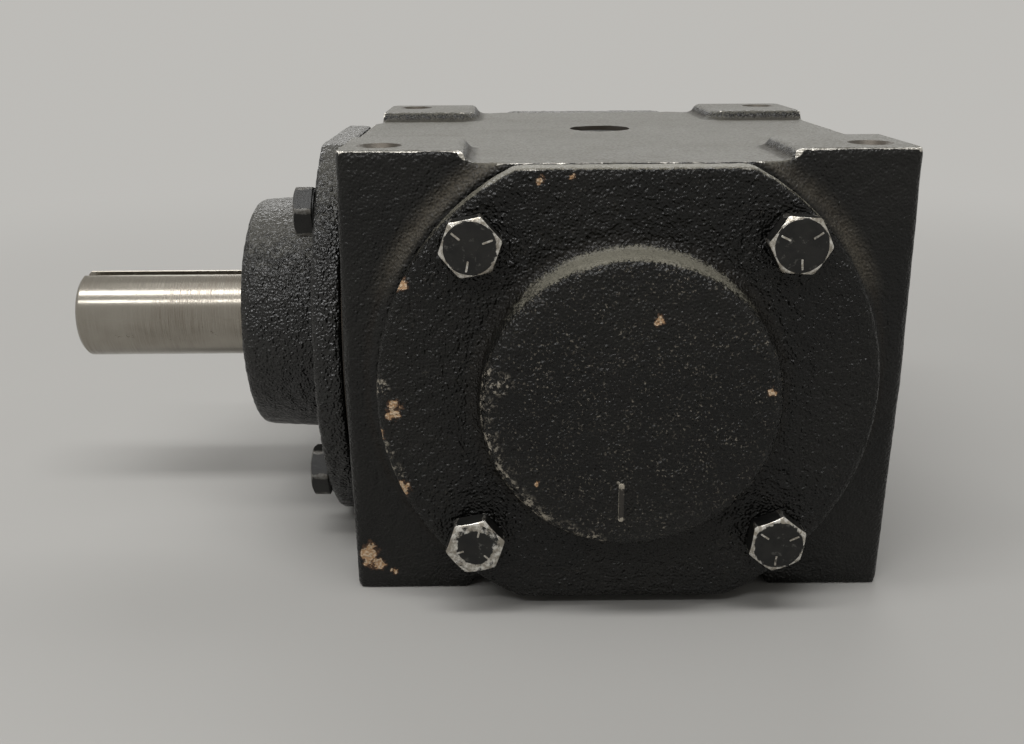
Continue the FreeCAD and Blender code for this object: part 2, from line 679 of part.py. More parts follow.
def open_keyway(body, end):
    """Keyway milled in from a shaft's free end, with the cutter's round at its inner end."""
    half = s.keyway_width / 2
    start = end - s.keyway_length + half
    floor = s.shaft_radius - s.keyway_depth
    keyway(body, s.keyway_width, s.keyway_depth, s.shaft_radius, start, end)
    cut_round(body, "keyway_end", half, (start, 0, floor), s.keyway_depth * 2, Z_AXIS)


def ring_groove(body, start, radius, name):
    """Groove that a retaining ring snaps into."""
    end = start + s.ring_thickness + s.ring_gap
    floor = radius - s.ring_sink - s.ring_gap
    past = radius + s.ring_sink
    turn_profile(body, [(start, floor), (end, floor), (end, past), (start, past)], "Groove", name)


def make_input_shaft():
    body = new_body("input_shaft", "input")
    nose = pinion_front - s.nose_length
    end = input_hub_end + s.shaft_reach
    turn_profile(body, [
        (nose, 0), (nose, s.nose_radius), (pinion_back, s.nose_radius),
        (pinion_back, s.journal_radius), (input_hub_end, s.journal_radius),
        (input_hub_end, s.shaft_radius), (end, s.shaft_radius), (end, 0),
    ])
    dress_rings(body, [(nose, s.nose_radius), (end, s.shaft_radius)], s.shaft_chamfer, "Chamfer")
    ring_groove(body, pinion_front - s.ring_thickness - s.ring_gap, s.nose_radius, "nose_groove")
    ring_groove(body, outer_cone_back, s.journal_radius, "bearing_groove")
    open_keyway(body, end)
    start = pinion_front + s.key_setback
    keyway(body, s.pinion_key_width, s.key_sink, s.nose_radius, start, pinion_back - s.key_setback)


def make_output_shaft():
    body = new_body("output_shaft", "rear")
    blind = -output_blind_end
    end = output_hub_end + s.shaft_reach
    turn_profile(body, [
        (blind, 0), (blind, s.journal_radius), (-output_cone_back, s.journal_radius),
        (-output_cone_back, s.gear_seat_radius), (-gear_front, s.gear_seat_radius),
        (-gear_front, s.collar_radius), (output_cone_back, s.collar_radius),
        (output_cone_back, s.journal_radius), (output_hub_end, s.journal_radius),
        (output_hub_end, s.shaft_radius), (end, s.shaft_radius), (end, 0),
    ])
    dress_rings(body, [(blind, s.journal_radius), (end, s.shaft_radius)], s.shaft_chamfer, "Chamfer")
    open_keyway(body, end)
    start = -gear_back + s.key_setback
    keyway(body, s.gear_key_width, s.key_sink, s.gear_seat_radius, start, -gear_front - s.key_setback)


def make_key(name, side, width, radius, start, end):
    body = new_body(name, side)
    low = start + s.key_setback
    high = end - s.key_setback
    cut_box(body, "key", (low, high), (-width / 2, width / 2),
            (radius - s.key_sink, radius + s.key_rise), "AdditiveBox")


def make_ring(name, start, radius):
    """External retaining ring with an open mouth, on the input shaft."""
    body = new_body(name, "input")
    inner = radius - s.ring_sink
    outer = radius + s.ring_rise
    end = start + s.ring_thickness
    turn_profile(body, [(start, inner), (start, outer), (end, outer), (end, inner)])
    half = s.ring_mouth / 2
    cut_box(body, "mouth", (start, end), (-half, half), (-outer, plain(0)))


def make_spacer(name, side, start, end, radius):
    inner = radius + s.spacer_fit
    outer = inner + s.spacer_wall
    body = new_body(name, side)
    turn_profile(body, [(start, inner), (start, outer), (end, outer), (end, inner)])


# Bevel gears: straight teeth with involute flanks on the back cone, running to the common apex

FLANK_STEPS = 7


def involute(radius, base):
    """Angle that the involute has swept where it crosses a radius."""
    roll = math.sqrt(max((radius / base) ** 2 - 1, 0))
    return roll - math.atan(roll)


def tooth_space(teeth, mate, near, far):
    """Cutter for one tooth space, its flanks aimed at the apex, between two planes on the axis."""
    module = value(s.gear_module)
    cone = math.atan(teeth / mate)
    pitch = module * teeth / 2 / math.cos(cone)
    base = pitch * math.cos(math.radians(value(s.pressure_angle)))
    tip = pitch + module
    root = pitch - module - value(s.root_clearance)
    play = value(s.backlash) / 4 / pitch
    half_space = math.pi * module / 4 / pitch + play - involute(pitch, base)
    past_tip = tip + module / 2
    flank = [root + (past_tip - root) * step / FLANK_STEPS for step in range(FLANK_STEPS + 1)]
    right = [(radius, half_space + involute(max(radius, base), base)) for radius in flank]
    outline = [(radius, -angle) for radius, angle in reversed(right)] + right
    heel = module * teeth / 2 / math.tan(cone) + pitch * math.sin(cone)
    rays = []
    for radius, angle in outline:
        around = angle / math.cos(cone)
        away = radius * math.cos(cone)
        along = heel - radius * math.sin(cone)
        rays.append(FreeCAD.Vector(along, away * math.cos(around), away * math.sin(around)) / along)
    ends = [[ray * plane for ray in rays] for plane in (near, far)]
    count = len(rays)
    faces = [Part.Face(Part.makePolygon(end + end[:1])) for end in ends]
    for i in range(count):
        j = (i + 1) % count
        loop = [ends[0][i], ends[0][j], ends[1][j], ends[1][i], ends[0][i]]
        faces.append(Part.Face(Part.makePolygon(loop)))
    cutter = Part.makeSolid(Part.makeShell(faces))
    if cutter.Volume < 0:
        cutter.reverse()
    return cutter


def bevel_gear(name, side, teeth, mate, front, back, bore, key_width, phase, hub=None, rim=None):
    """A bevel gear with its bore and keyway, set on one shaft; a large gear has a rim and a hub."""
    teeth, mate, front, back, bore = (value(size) for size in (teeth, mate, front, back, bore))
    module = value(s.gear_module)
    cone = math.atan(teeth / mate)
    along = FreeCAD.Vector(math.cos(cone), math.sin(cone))
    away = FreeCAD.Vector(-math.sin(cone), math.cos(cone))
    heel = along * (module * math.hypot(teeth, mate) / 2)
    toe = heel - along * value(s.face_width)
    tip = heel + away * module
    toe_tip = tip * (toe.Length / heel.Length)

    def down_to_plane(point, plane):
        """Where the end cone through a point meets a plane across the axis."""
        return point - away * ((plane - point.x) / math.sin(cone))

    loop = [FreeCAD.Vector(front, bore), down_to_plane(toe, front), toe_tip, tip]
    if rim:
        rim_edge = heel - away * (module + value(s.root_clearance) + value(rim))
        loop += [rim_edge, FreeCAD.Vector(rim_edge.x, value(hub)), FreeCAD.Vector(back, value(hub))]
    else:
        loop.append(down_to_plane(heel, back))
    loop.append(FreeCAD.Vector(back, bore))
    blank = Part.Face(Part.makePolygon(loop + loop[:1])).revolve(FreeCAD.Vector(), X_AXIS, 360)

    cutter = tooth_space(teeth, mate, toe_tip.x / 2, back)
    cutters = []
    for number in range(round(teeth)):
        copy = cutter.copy()
        copy.rotate(FreeCAD.Vector(), X_AXIS, phase + number * 360 / teeth)
        cutters.append(copy)
    toothed = blank.cut(cutters)
    slot_width = value(key_width + s.key_gap * 2)
    slot_top = bore + value(s.key_rise + s.key_gap)
    slot = Part.makeBox(back - front, slot_width, slot_top, FreeCAD.Vector(front, -slot_width / 2, 0))
    gear = doc.addObject("Part::Feature", name)
    gear.Label = name
    gear.Shape = toothed.cut(slot).Solids[0]
    centre = FreeCAD.Vector(0, 0, value(axis_height))
    gear.Placement = FreeCAD.Placement(centre, FreeCAD.Rotation(Z_AXIS, TURN[side]))


# Tapered roller bearings: places are measured from the cone's back face, raceways meet at one apex

tilt = s.roller_tilt * degrees(1)
half_taper = atan(s.roller_radius * sin(tilt) / s.roller_pitch_radius)
race_apex = s.roller_middle + s.roller_pitch_radius / tan(tilt)


def cup_race(place):
    slope = tilt + half_taper
    return (race_apex - place) * tan(slope) + s.raceway_gap / cos(slope)


def roller_point(along, away):
    """A point given along and away from a roller's own axis, from its middle."""
    place = s.roller_middle + along * cos(tilt) + away * sin(tilt)
    return place, s.roller_pitch_radius - along * sin(tilt) + away * cos(tilt)


def roller_side(along):
    """Radius of a roller at a place on its axis."""
    return s.roller_radius - along * tan(half_taper)


def make_bearing(prefix, side, cone_back, facing):
    """Cup, cone, cage and rollers, with the cup's back face on the facing side of the cone's."""

    def seat(points):
        return [(cone_back + place * facing, radius) for place, radius in points]

    half = s.roller_length / 2
    cup_start = s.bearing_width - s.cup_width
    cup = new_body(f"{prefix}_cup", side)
    turn_profile(cup, seat([
        (cup_start, s.cup_radius), (s.bearing_width, s.cup_radius),
        (s.bearing_width, cup_race(s.bearing_width)), (cup_start, cup_race(cup_start)),
    ]))

    back_end = -half - s.rib_gap
    front_end = half + s.rib_gap
    race_back = roller_point(back_end, -roller_side(back_end) - s.raceway_gap)
    race_front = roller_point(front_end, -roller_side(front_end) - s.raceway_gap)
    rib_top = roller_point(back_end, s.rib_rise - roller_side(back_end))
    lip_top = roller_point(front_end, s.lip_rise - roller_side(front_end))
    cone = new_body(f"{prefix}_cone", side)
    turn_profile(cone, seat([
        (plain(0), s.journal_radius), (plain(0), rib_top[1]), rib_top, race_back, race_front, lip_top,
        (s.cone_width, lip_top[1]), (s.cone_width, s.journal_radius),
    ]))

    def roller_outline(grow):
        start = -half - grow
        end = half + grow
        return seat([
            roller_point(start, plain(0)), roller_point(start, roller_side(start) + grow),
            roller_point(end, roller_side(end) + grow), roller_point(end, plain(0)),
        ])

    rollers = new_body(f"{prefix}_rollers", side)
    roller = turn_profile(rollers, roller_outline(plain(0)), name="roller", axis="Edge1")
    ring_pattern(rollers, [roller], s.roller_count)

    rim = half + s.cage_rim
    cage = new_body(f"{prefix}_cage", side)
    turn_profile(cage, seat([
        roller_point(-rim, s.cage_lift), roller_point(-rim, s.cage_lift + s.cage_wall),
        roller_point(rim, s.cage_lift + s.cage_wall), roller_point(rim, s.cage_lift),
    ]))
    window = turn_profile(cage, roller_outline(s.cage_gap), "Groove", "window", "Edge1")
    ring_pattern(cage, [window], s.roller_count)


# Shaft seals: a pressed steel case with a rubber lip moulded to it

def make_seal(prefix, side, end):
    start = end - s.seal_width
    opening = s.journal_radius + s.seal_opening
    shoulder = end - s.seal_sheet
    case = new_body(f"{prefix}_seal_case", side)
    turn_profile(case, [
        (start, s.cup_radius), (end, s.cup_radius), (end, opening), (shoulder, opening),
        (shoulder, s.cup_radius - s.seal_sheet), (start, s.cup_radius - s.seal_sheet),
    ])
    inner = s.journal_radius + s.seal_fit
    outer = inner + s.seal_lip
    bond = shoulder - s.seal_bond
    lip = new_body(f"{prefix}_seal_lip", side)
    turn_profile(lip, [
        (end, opening), (end, inner), (start, inner), (start, outer), (bond, outer),
        (bond, opening + s.seal_bond), (shoulder, opening + s.seal_bond), (shoulder, opening),
    ])


make_housing()
make_front_cover()
make_input_carrier()
make_output_cover()
make_gasket("front_gasket", "front", front_face)
make_gasket("input_gasket", "input", side_face)
make_gasket("output_gasket", "rear", front_face)
make_bolts("front_bolts", "front", output_seat)
make_bolts("input_bolts", "input", input_seat)
make_bolts("output_bolts", "rear", output_seat)
make_plug("fill_plug", False)
make_plug("drain_plug", True)
make_input_shaft()
make_output_shaft()
bevel_gear("pinion", "input", s.pinion_teeth, s.gear_teeth, pinion_front, pinion_back,
           s.nose_radius, s.pinion_key_width, 180 / value(s.pinion_teeth))
bevel_gear("gear", "front", s.gear_teeth, s.pinion_teeth, gear_front, gear_back,
           s.gear_seat_radius, s.gear_key_width, 180, hub=s.gear_hub_radius, rim=s.gear_rim)
make_key("pinion_key", "input", s.pinion_key_width, s.nose_radius, pinion_front, pinion_back)
make_key("gear_key", "front", s.gear_key_width, s.gear_seat_radius, gear_front, gear_back)
make_ring("pinion_ring", pinion_front - s.ring_thickness, s.nose_radius)
make_ring("input_ring", outer_cone_back, s.journal_radius)
make_spacer("input_spacer", "input", pinion_back + s.cone_width, outer_cone_back - s.cone_width,
            s.journal_radius)
make_spacer("gear_spacer", "front", gear_back, output_cone_back, s.gear_seat_radius)
make_bearing("input_inner", "input", pinion_back, 1)
make_bearing("input_outer", "input", outer_cone_back, -1)
make_bearing("output_front", "front", output_cone_back, 1)
make_bearing("output_rear", "rear", output_cone_back, 1)
make_seal("input", "input", input_hub_end)
make_seal("output", "rear", output_hub_end)

doc.recompute()
for thing in doc.Objects:
    if "Invalid" in thing.State or "Error" in thing.State:
        raise RuntimeError(f"{thing.Name} failed: {thing.State}")
pieces = [thing for thing in doc.Objects if thing.TypeId in ("PartDesign::Body", "Part::Feature")]
for piece in pieces:
    if piece.Shape.isNull() or not piece.Shape.isValid():
        raise RuntimeError(f"{piece.Label} has no valid shape")
os.makedirs("parts", exist_ok=True)
for piece in pieces:
    piece.Shape.exportStep(f"parts/{piece.Label}.step")
print(f"{len(pieces)} pieces written")
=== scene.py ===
import bmesh
import bpy
import math
import numpy as np
from mathutils import Matrix, Quaternion, Vector, noise


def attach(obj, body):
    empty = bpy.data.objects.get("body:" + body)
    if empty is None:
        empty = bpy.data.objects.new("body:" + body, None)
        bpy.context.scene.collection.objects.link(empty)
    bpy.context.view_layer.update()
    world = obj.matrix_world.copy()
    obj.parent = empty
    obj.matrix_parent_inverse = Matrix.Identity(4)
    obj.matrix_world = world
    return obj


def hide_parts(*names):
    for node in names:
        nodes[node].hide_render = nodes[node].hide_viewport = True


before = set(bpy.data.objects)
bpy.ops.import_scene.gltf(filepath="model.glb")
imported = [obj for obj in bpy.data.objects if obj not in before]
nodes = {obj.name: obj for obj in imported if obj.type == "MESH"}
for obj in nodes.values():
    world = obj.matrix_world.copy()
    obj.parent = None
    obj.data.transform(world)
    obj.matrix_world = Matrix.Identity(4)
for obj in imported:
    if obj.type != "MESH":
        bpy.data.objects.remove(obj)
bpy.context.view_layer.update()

# Housing. A grey-iron box, sand-cast in two halves that part at mid-height, with a round boss behind
# each cover and a pad at each corner. It is cast rough, then bored, drilled and tapped, and sprayed
# with black enamel after assembly, which has chipped and gathered dust; the dust's pale colour on what
# faces up also paints the sheen of the light there.
MM = 0.001
AXIS_HEIGHT = 63 * MM
CENTRE = Vector((0, 0, AXIS_HEIGHT))
OUTWARD = {"front": Vector((0, -1, 0)), "rear": Vector((0, 1, 0)), "input": Vector((-1, 0, 0))}
BOSS_FACE = {"front": 80.6 * MM, "rear": 80.6 * MM, "input": 78.3 * MM}
BODY_HEIGHT = 126 * MM
PAD_HEIGHT = 3 * MM
FLOOR_WALL = 9 * MM
PAD_HOLES = [Vector((x, y, 0)) * MM for x in (-65.7, 65.7) for y in (-66, 66)]
BOLT_SPREAD = 41.083 * MM
PILOT_RADIUS = 45 * MM
TAP_RADIUS = 4.8125 * MM
TAP_DEPTH = 18 * MM
BORE_START = 40 * MM
BORE_STOP = 15 * MM
PORT_PLACE = Vector((0, 12, 0)) * MM
PORT_RADIUS = 10 * MM
PAD_HOLE_DEPTH = 20 * MM
PAD_STOP_RADIUS = 6.6 * MM
UPPER_HOLE_RADIUS = 4.7625 * MM
UPPER_HOLE_MOUTH = 7.06 * MM
UPPER_HOLE_LEAD = 1.3 * MM
LOWER_HOLE_RADIUS = 5.55625 * MM
CHAMBER_WIDTH = 116.4 * MM
CHAMBER_DEPTH = 121 * MM
CHAMBER_CORNER = 10 * MM
PAST_FACE = 1 * MM
UP = Vector((0, 0, 1))


def turned(outline, origin, direction, sides=96, roll=0.0):
    """Mesh turned about an axis from (along, away) points; a loop that stays off the axis is a ring."""
    shape = bmesh.new()
    heading = direction.to_track_quat("X", "Y" if abs(direction.z) > 0.5 else "Z")
    rings = []
    for along, away in outline:
        if away < 1e-9:
            rings.append([shape.verts.new(origin + heading @ Vector((along, 0, 0)))])
            continue
        ring = []
        for step in range(sides):
            angle = 2 * math.pi * step / sides + roll
            ring.append(shape.verts.new(
                origin + heading @ Vector((along, away * math.cos(angle), away * math.sin(angle)))
            ))
        rings.append(ring)
    closed = all(len(ring) > 1 for ring in rings)
    for first, second in zip(rings, rings[1:] + (rings[:1] if closed else [])):
        for step in range(sides):
            after = (step + 1) % sides
            corners = [first[step % len(first)], first[after % len(first)],
                       second[after % len(second)], second[step % len(second)]]
            corners = list(dict.fromkeys(corners))
            if len(corners) > 2:
                shape.faces.new(corners)
    bmesh.ops.recalc_face_normals(shape, faces=shape.faces)
    return mesh_of(shape)


def mesh_of(shape):
    """Mesh from a finished bmesh, which is freed."""
    mesh = bpy.data.meshes.new("shape")
    shape.to_mesh(mesh)
    shape.free()
    return mesh


def bar(radius, start, end, origin, direction, sides=64):
    """Round bar between two places on an axis."""
    return turned([(start, 0), (start, radius), (end, radius), (end, 0)], origin, direction, sides)


def placed(name, mesh, finish=None):
    """New object in the scene, with its finish."""
    if finish:
        mesh.materials.append(finish)
    piece = bpy.data.objects.new(name, mesh)
    bpy.context.scene.collection.objects.link(piece)
    return piece


def settle(piece):
    """Turn a piece's modifiers into its own mesh."""
    view = bpy.context.evaluated_depsgraph_get()
    mesh = bpy.data.meshes.new_from_object(piece.evaluated_get(view))
    piece.modifiers.clear()
    spent = piece.data
    piece.data = mesh
    bpy.data.meshes.remove(spent)


def machined(piece, tools, finish, operation="DIFFERENCE"):
    """Cut crisp shapes from a piece, or add them to it; the new faces take the given finish."""
    helpers = []
    for mesh in tools:
        mesh.materials.append(finish)
        helper = placed("tool", mesh)
        cut = piece.modifiers.new("cut", "BOOLEAN")
        cut.solver = "MANIFOLD"
        cut.operation = operation
        cut.material_mode = "TRANSFER"
        cut.object = helper
        helpers.append(helper)
    settle(piece)
    for helper in helpers:
        mesh = helper.data
        bpy.data.objects.remove(helper)
        bpy.data.meshes.remove(mesh)


def vertex_rows(source, name):
    """Rows of x, y, z read from a mesh's vertices or normals."""
    rows = np.empty(len(source) * 3, np.float32)
    source.foreach_get(name, rows)
    return rows.reshape(-1, 3)


ROLL_LENGTH = 11 * MM
PEBBLE_LENGTH = 2.6 * MM


def cast(name, node, stoppers, finish, grain, rounds, swell, sand):
    """Raw casting of a CAD node: its bores stopped, its edges softened, its skin roughened inwards.

    The skin is made of cells of one grain and smoothed in rounds. It sinks by up to swell in long
    waves and by up to sand in pebbles. The marks edge and nook stay on it for the paint.
    """
    shape = bmesh.new()
    shape.from_mesh(nodes[node].data)
    for stopper in stoppers:
        shape.from_mesh(stopper)
        bpy.data.meshes.remove(stopper)
    piece = placed(name, mesh_of(shape), finish)
    skin = piece.modifiers.new("skin", "REMESH")
    skin.mode = "VOXEL"
    skin.voxel_size = grain
    soften = piece.modifiers.new("soften", "SMOOTH")
    soften.iterations = rounds
    settle(piece)

    mesh = piece.data
    spots = vertex_rows(mesh.vertices, "co")
    normals = vertex_rows(mesh.vertex_normals, "vector")
    ends = np.empty(len(mesh.edges) * 2, np.int32)
    mesh.edges.foreach_get("vertices", ends)
    ends = ends.reshape(-1, 2)
    around = np.zeros_like(spots)
    count = np.zeros(len(spots), np.float32)
    for near, far in ((0, 1), (1, 0)):
        np.add.at(around, ends[:, near], spots[ends[:, far]])
        np.add.at(count, ends[:, near], 1)
    fall = -((around / count[:, None] - spots) * normals).sum(1) / grain
    marks = {"edge": np.clip((fall - 0.03) / 0.12, 0, 1), "nook": np.clip((-fall - 0.01) / 0.05, 0, 1)}
    roll = np.array([noise.noise(Vector(spot) / ROLL_LENGTH) for spot in spots])
    pebble = np.array([noise.fractal(Vector(spot) / PEBBLE_LENGTH, 0.9, 2.1, 2) for spot in spots])
    sunk = swell * (0.5 + 0.5 * np.clip(roll, -1, 1)) + sand * (0.5 + 0.5 * np.clip(pebble, -1, 1))
    height = spots[:, 2]
    milled = (np.abs(height) < 0.2 * MM) | (np.abs(height - BODY_HEIGHT) < 0.2 * MM)
    milled &= np.abs(normals[:, 2]) > 0.98
    sunk[milled] *= 0.1
    spots -= normals * sunk[:, None]
    mesh.vertices.foreach_set("co", spots.ravel())
    for mark, amount in marks.items():
        mesh.attributes.new(mark, "FLOAT", "POINT").data.foreach_set("value", amount.astype(np.float32))
    mesh.update()
    return piece


def dressed(piece, body, node, sharp=40):
    """Shade a piece, and let it stand for a CAD node and ride on a body."""
    piece.data.shade_smooth()
    piece.data.set_sharp_from_angle(angle=math.radians(sharp))
    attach(piece, body)
    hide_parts(node)


class Wire:
    """One value in a material's nodes. Arithmetic on it adds Math nodes."""

    def __init__(self, tree, socket=None):
        self.tree = tree
        self.socket = socket

    def node(self, kind, settings=None, inputs=None, output=0):
        """Any node: its settings come first, then the values or links of its sockets."""
        made = self.tree.nodes.new(kind)
        for name, setting in (settings or {}).items():
            setattr(made, name, setting)
        for name, given in (inputs or {}).items():
            if isinstance(given, Wire):
                self.tree.links.new(given.socket, made.inputs[name])
            else:
                made.inputs[name].default_value = given
        return Wire(self.tree, made.outputs[output] if made.outputs else None)

    def math(self, operation, first, second):
        """One Math node on two values."""
        return self.node("ShaderNodeMath", {"operation": operation}, {0: first, 1: second})

    def __add__(self, other):
        return self.math("ADD", self, other)

    __radd__ = __add__

    def __sub__(self, other):
        return self.math("SUBTRACT", self, other)

    def __rsub__(self, other):
        return self.math("SUBTRACT", other, self)

    def __mul__(self, other):
        return self.math("MULTIPLY", self, other)

    __rmul__ = __mul__

    def __truediv__(self, other):
        return self.math("DIVIDE", self, other)

    def most(self, other):
        return self.math("MAXIMUM", self, other)

    def ramp(self, low, high):
        """Smooth rise from 0 at low to 1 at high."""
        return self.node("ShaderNodeMapRange", {"interpolation_type": "SMOOTHSTEP"},
                         {"Value": self, "From Min": low, "From Max": high})

    def mix(self, start, end):
        """Colour that goes from start to end as this value goes from 0 to 1."""
        colours = [c if isinstance(c, Wire) else (*c, 1) for c in (start, end)]
        return self.node("ShaderNodeMix", {"data_type": "RGBA"}, {0: self, 6: colours[0], 7: colours[1]}, 2)

    def noise(self, scale, detail=2.0, roughness=0.5):
        """Cloudy noise with so many lumps to the metre, at this place."""
        return self.node("ShaderNodeTexNoise", None,
                         {"Vector": self, "Scale": scale, "Detail": detail, "Roughness": roughness})

    def cells(self, scale):
        """Distance to the nearest of so many grains to the metre."""
        return self.node("ShaderNodeTexVoronoi", None, {"Vector": self, "Scale": scale})

    def part(self, axis):
        """X, Y or Z of this place or direction."""
        return self.node("ShaderNodeSeparateXYZ", None, {0: self}, axis)

    def stretch(self, scales):
        return self.node("ShaderNodeVectorMath", {"operation": "MULTIPLY"}, {0: self, 1: scales})

    def shift(self, amount):
        return self.node("ShaderNodeVectorMath", {"operation": "ADD"}, {0: self, 1: amount})

    def far(self, spot):
        """Distance from this place to a spot."""
        return self.node("ShaderNodeVectorMath", {"operation": "DISTANCE"}, {0: self, 1: spot}, "Value")


def new_material(name):
    """Empty material, its nodes, and the place on the piece in metres."""
    material = bpy.data.materials.new(name)
    material.use_nodes = True
    material.node_tree.nodes.clear()
    net = Wire(material.node_tree)
    return material, net, net.node("ShaderNodeTexCoord", output="Object")


def surface(net, colour, roughness, height, metallic=0.0, veil=None, **constants):
    """Principled surface with a bump whose height is in metres; a veil is (mask, shader) over it."""
    inputs = {"Base Color": colour, "Roughness": roughness, "Metallic": metallic}
    inputs["Normal"] = net.node("ShaderNodeBump", None, {"Height": height, "Distance": 1.0})
    for name, value in constants.items():
        inputs[name.replace("_", " ").title().replace("Ior", "IOR")] = value
    shader = net.node("ShaderNodeBsdfPrincipled", None, inputs)
    if veil:
        shader = net.node("ShaderNodeMixShader", None, {0: veil[0], 1: shader, 2: veil[1]})
    net.node("ShaderNodeOutputMaterial", None, {"Surface": shader})


BLACK_ENAMEL = (0.005, 0.005, 0.0045)
THIN_ENAMEL = (0.0095, 0.0092, 0.008)
DUST_AND_SHEEN = (0.31, 0.292, 0.232)
SPECK = (0.33, 0.295, 0.24)
BARE_IRON = (0.60, 0.575, 0.52)
PRIMER = (0.50, 0.31, 0.17)
OLD_PRIMER = (0.68, 0.52, 0.36)
RUST = (0.10, 0.052, 0.028)
GRIME_AND_HIGHLIGHT = (0.15, 0.132, 0.102)
SOOT_AND_SHADE = (0.011, 0.0085, 0.006)
SCUFF = (0.42, 0.38, 0.31)


def enamel(name, dust_and_sheen, wear, gloss, shine, relief, chips=(), worn=(), scuffs=(), specks=None, grime_and_highlight=None,
           worn_above=0.0):
    """Black enamel over sand-cast iron.

    Dust_and_sheen is how much dust lies on what faces up, and its pale colour there also paints the
    sheen of the light on those faces. Wear bares the edges, most above the height worn_above. Gloss is
    the smoothest roughness, shine the specular level and relief the depth of the sand's grain. Chips,
    worn edges and scuffs are (place in mm, radius in mm). Specks are their strength on the flange and
    on the dome's face, and grime_and_highlight is a ring's radius and lowest height in mm, where a light
    brown smear paints grime and a highlight on the upper part of the boss ring.
    """
    material, net, where = new_material(name)
    lumps = where.noise(310, 1)
    sand = where.cells(950)
    grains = where.noise(1450, 0)
    clouds = where.noise(38, 3)
    up = net.node("ShaderNodeTexCoord", output="Normal").part("Z")

    swept = 0.45 * grains.ramp(0.35, 0.6) + 0.5 * where.noise(2300, 1).ramp(0.35, 0.62)
    swept = swept + 0.25 * lumps.ramp(0.3, 0.6)
    # Dust settles on what faces up, and its pale colour there is also a painted sheen of the light from
    # above.
    film = (1.75 * up.ramp(0.3, 0.95) - swept).ramp(0, 1) * dust_and_sheen
    colour = clouds.ramp(0.35, 0.7).mix(BLACK_ENAMEL, THIN_ENAMEL)
    colour = film.mix(colour, DUST_AND_SHEEN)
    # Concave nooks are tinted with soot and painted shade, and made rougher.
    nook = net.node("ShaderNodeAttribute", {"attribute_name": "nook"}, output="Fac") * (1 - film)
    colour = (nook * 0.8).mix(colour, SOOT_AND_SHADE)
    roughness = gloss + 0.1 * clouds.ramp(0.3, 0.7) + 0.14 * sand.ramp(0.2, 0.7) + 0.25 * film + 0.25 * nook
    height = (lumps * 0.8 - sand * 0.19 + grains * 0.46) * (relief * MM) * (1 - 0.6 * up.ramp(0.6, 0.95))

    if specks:
        low, raised = specks
        amount = low + (raised - low) * (1 - where.part("Y").ramp(-98 * MM, -92 * MM))
        pits = where.noise(1250, 2, 0.7).ramp(0.58, 0.74) * where.noise(140, 2).ramp(0.3, 0.66) * amount
        colour = pits.mix(colour, SPECK)
        roughness = roughness + pits * 0.4
        height = height - pits * (0.1 * MM)
    for place, reach in scuffs:
        torn = where.noise(620, 4, 0.75).ramp(0.51, 0.6)
        torn = torn * (1 - where.far(Vector(place) * MM).ramp(0.35 * reach * MM, reach * MM))
        colour = torn.mix(colour, SCUFF)
        roughness = roughness + torn * 0.25
    # A light brown smear on the upper part of the boss ring paints grime together with a highlight where the
    # light catches the ring.
    if grime_and_highlight:
        ring, low = grime_and_highlight
        away = where.stretch((1, 0, 1)).far((0, 0, AXIS_HEIGHT))
        smear = away.ramp((ring - 2) * MM, ring * MM) * (1 - away.ramp((ring + 1) * MM, (ring + 6) * MM))
        smear = smear * where.part("Z").ramp((low - 12) * MM, low * MM)
        smear = smear * (1 - where.part("Y").ramp(-78.5 * MM, -77 * MM))
        smear = smear * where.noise(45, 3).ramp(0.3, 0.6)
        smear = smear * (0.4 + 0.6 * where.noise(1700, 2).ramp(0.35, 0.65))
        colour = (smear * 0.55).mix(colour, GRIME_AND_HIGHLIGHT)
        roughness = roughness + smear * 0.35
    edge = net.node("ShaderNodeAttribute", {"attribute_name": "edge"}, output="Fac")
    rubbed = edge * (0.3 * wear + 0.7 * wear * where.part("Z").ramp(worn_above, worn_above + 12 * MM))
    for spot, radius in worn:
        rubbed = rubbed.most(edge * (1 - where.far(Vector(spot) * MM).ramp(0.5 * radius * MM, radius * MM)))
    rubbed = rubbed + 0.8 * (where.noise(430, 3, 0.6) - 0.5) + 0.8 * (where.noise(90, 2) - 0.5)
    rubbed = rubbed.ramp(0.5, 0.66) * edge.ramp(0.05, 0.3)
    colour = rubbed.mix(colour, BARE_IRON)
    roughness = roughness + rubbed * (0.34 - roughness)
    metallic = rubbed
    for spot, radius in chips:
        ragged = where.noise(0.8 / (radius * MM), 3, 0.6) - 0.5
        away = where.far(Vector(spot) * MM) / (radius * MM) + ragged * 3.0
        bare = 1 - away.ramp(0.74, 0.86)
        rim = (1 - away.ramp(0.9, 1.2)) * (1 - bare)
        colour = bare.mix((rim * 0.8).mix(colour, RUST), grains.ramp(0.4, 0.6).mix(PRIMER, OLD_PRIMER))
        roughness = roughness + bare * (0.75 - roughness)
        metallic = metallic * (1 - bare)
        height = height - bare * (0.2 * MM)
    surface(net, colour, roughness, height, metallic, specular_ior_level=shine)
    return material


def bolt_places(side, face):
    """Middles of a cover's four bolts on a face, in rows from the upper left."""
    outward = OUTWARD[side]
    across = UP.cross(outward)
    for z in (BOLT_SPREAD, -BOLT_SPREAD):
        for x in (-BOLT_SPREAD, BOLT_SPREAD):
            yield CENTRE + outward * face + across * x + UP * z


